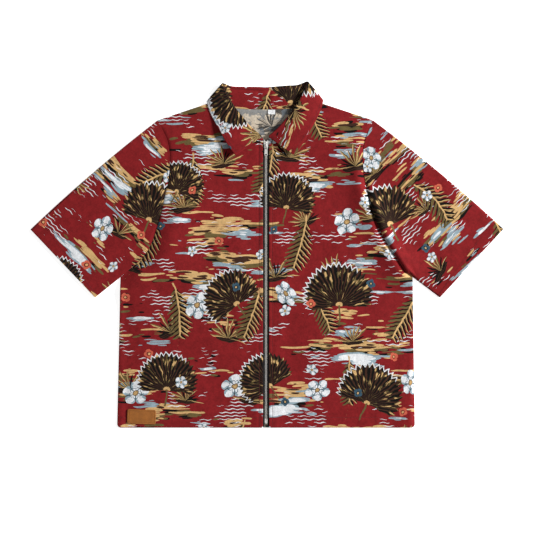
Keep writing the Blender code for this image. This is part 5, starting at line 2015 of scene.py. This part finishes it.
class SHIRT_OT_zip_tapes(bpy.types.Operator):
    """Makes both of the zip's tapes"""

    bl_idname = "shirt.zip_tapes"
    bl_label = "Zip tapes"

    def execute(self, context):
        for side in SIDES:
            make_tape(side)
        return {"FINISHED"}


class SHIRT_OT_zip_teeth(bpy.types.Operator):
    """Makes the zip's teeth and its upper stops"""

    bl_idname = "shirt.zip_teeth"
    bl_label = "Zip teeth"

    def execute(self, context):
        make_teeth(context.scene.shirt_sizes)
        return {"FINISHED"}


class SHIRT_OT_zip_box(bpy.types.Operator):
    """Makes the zip's lower stop"""

    bl_idname = "shirt.zip_box"
    bl_label = "Zip box"

    def execute(self, context):
        make_zip_box()
        return {"FINISHED"}


class SHIRT_OT_slider(bpy.types.Operator):
    """Makes the zip's slider"""

    bl_idname = "shirt.slider"
    bl_label = "Slider"

    def execute(self, context):
        make_slider()
        return {"FINISHED"}


class SHIRT_OT_pull_tab(bpy.types.Operator):
    """Makes the slider's pull tab"""

    bl_idname = "shirt.pull_tab"
    bl_label = "Pull tab"

    def execute(self, context):
        make_pull_tab()
        return {"FINISHED"}


class SHIRT_OT_patch(bpy.types.Operator):
    """Makes the leather patch"""

    bl_idname = "shirt.patch"
    bl_label = "Patch"

    def execute(self, context):
        make_patch(context.scene.shirt_sizes)
        return {"FINISHED"}


class SHIRT_OT_label(bpy.types.Operator):
    """Makes the size label"""

    bl_idname = "shirt.label"
    bl_label = "Label"

    def execute(self, context):
        make_label()
        return {"FINISHED"}


class SHIRT_OT_stage(bpy.types.Operator):
    """Makes the floor, the lights and the camera"""

    bl_idname = "shirt.stage"
    bl_label = "Stage"

    def execute(self, context):
        make_stage(context.scene.shirt_stage)
        return {"FINISHED"}


OPERATORS = (
    SHIRT_OT_fronts,
    SHIRT_OT_back,
    SHIRT_OT_sleeves,
    SHIRT_OT_collar,
    SHIRT_OT_zip_tapes,
    SHIRT_OT_zip_teeth,
    SHIRT_OT_zip_box,
    SHIRT_OT_slider,
    SHIRT_OT_pull_tab,
    SHIRT_OT_patch,
    SHIRT_OT_label,
    SHIRT_OT_stage,
)


class SHIRT_PT_panel(bpy.types.Panel):
    """Lists the shirt's pieces"""

    bl_label = "Shirt"
    bl_idname = "SHIRT_PT_panel"
    bl_space_type = "VIEW_3D"
    bl_region_type = "UI"
    bl_category = "Shirt"

    def draw(self, context):
        for operator in OPERATORS:
            self.layout.operator(operator.bl_idname)


CLASSES = (ShirtSizes, ShirtColours, ShirtStage, *OPERATORS, SHIRT_PT_panel)


def register():
    for cls in CLASSES:
        bpy.utils.register_class(cls)
    bpy.types.Scene.shirt_sizes = PointerProperty(type=ShirtSizes)
    bpy.types.Scene.shirt_colours = PointerProperty(type=ShirtColours)
    bpy.types.Scene.shirt_stage = PointerProperty(type=ShirtStage)


def unregister():
    for name in ("shirt_sizes", "shirt_colours", "shirt_stage"):
        delattr(bpy.types.Scene, name)
    for cls in reversed(CLASSES):
        bpy.utils.unregister_class(cls)


def main():
    """Makes every piece and the stage."""
    register()
    bpy.ops.shirt.fronts()
    bpy.ops.shirt.back()
    bpy.ops.shirt.sleeves()
    bpy.ops.shirt.collar()
    bpy.ops.shirt.zip_tapes()
    bpy.ops.shirt.zip_teeth()
    bpy.ops.shirt.zip_box()
    bpy.ops.shirt.slider()
    bpy.ops.shirt.pull_tab()
    bpy.ops.shirt.patch()
    bpy.ops.shirt.label()
    bpy.ops.shirt.stage()


if __name__ == "__main__":
    main()
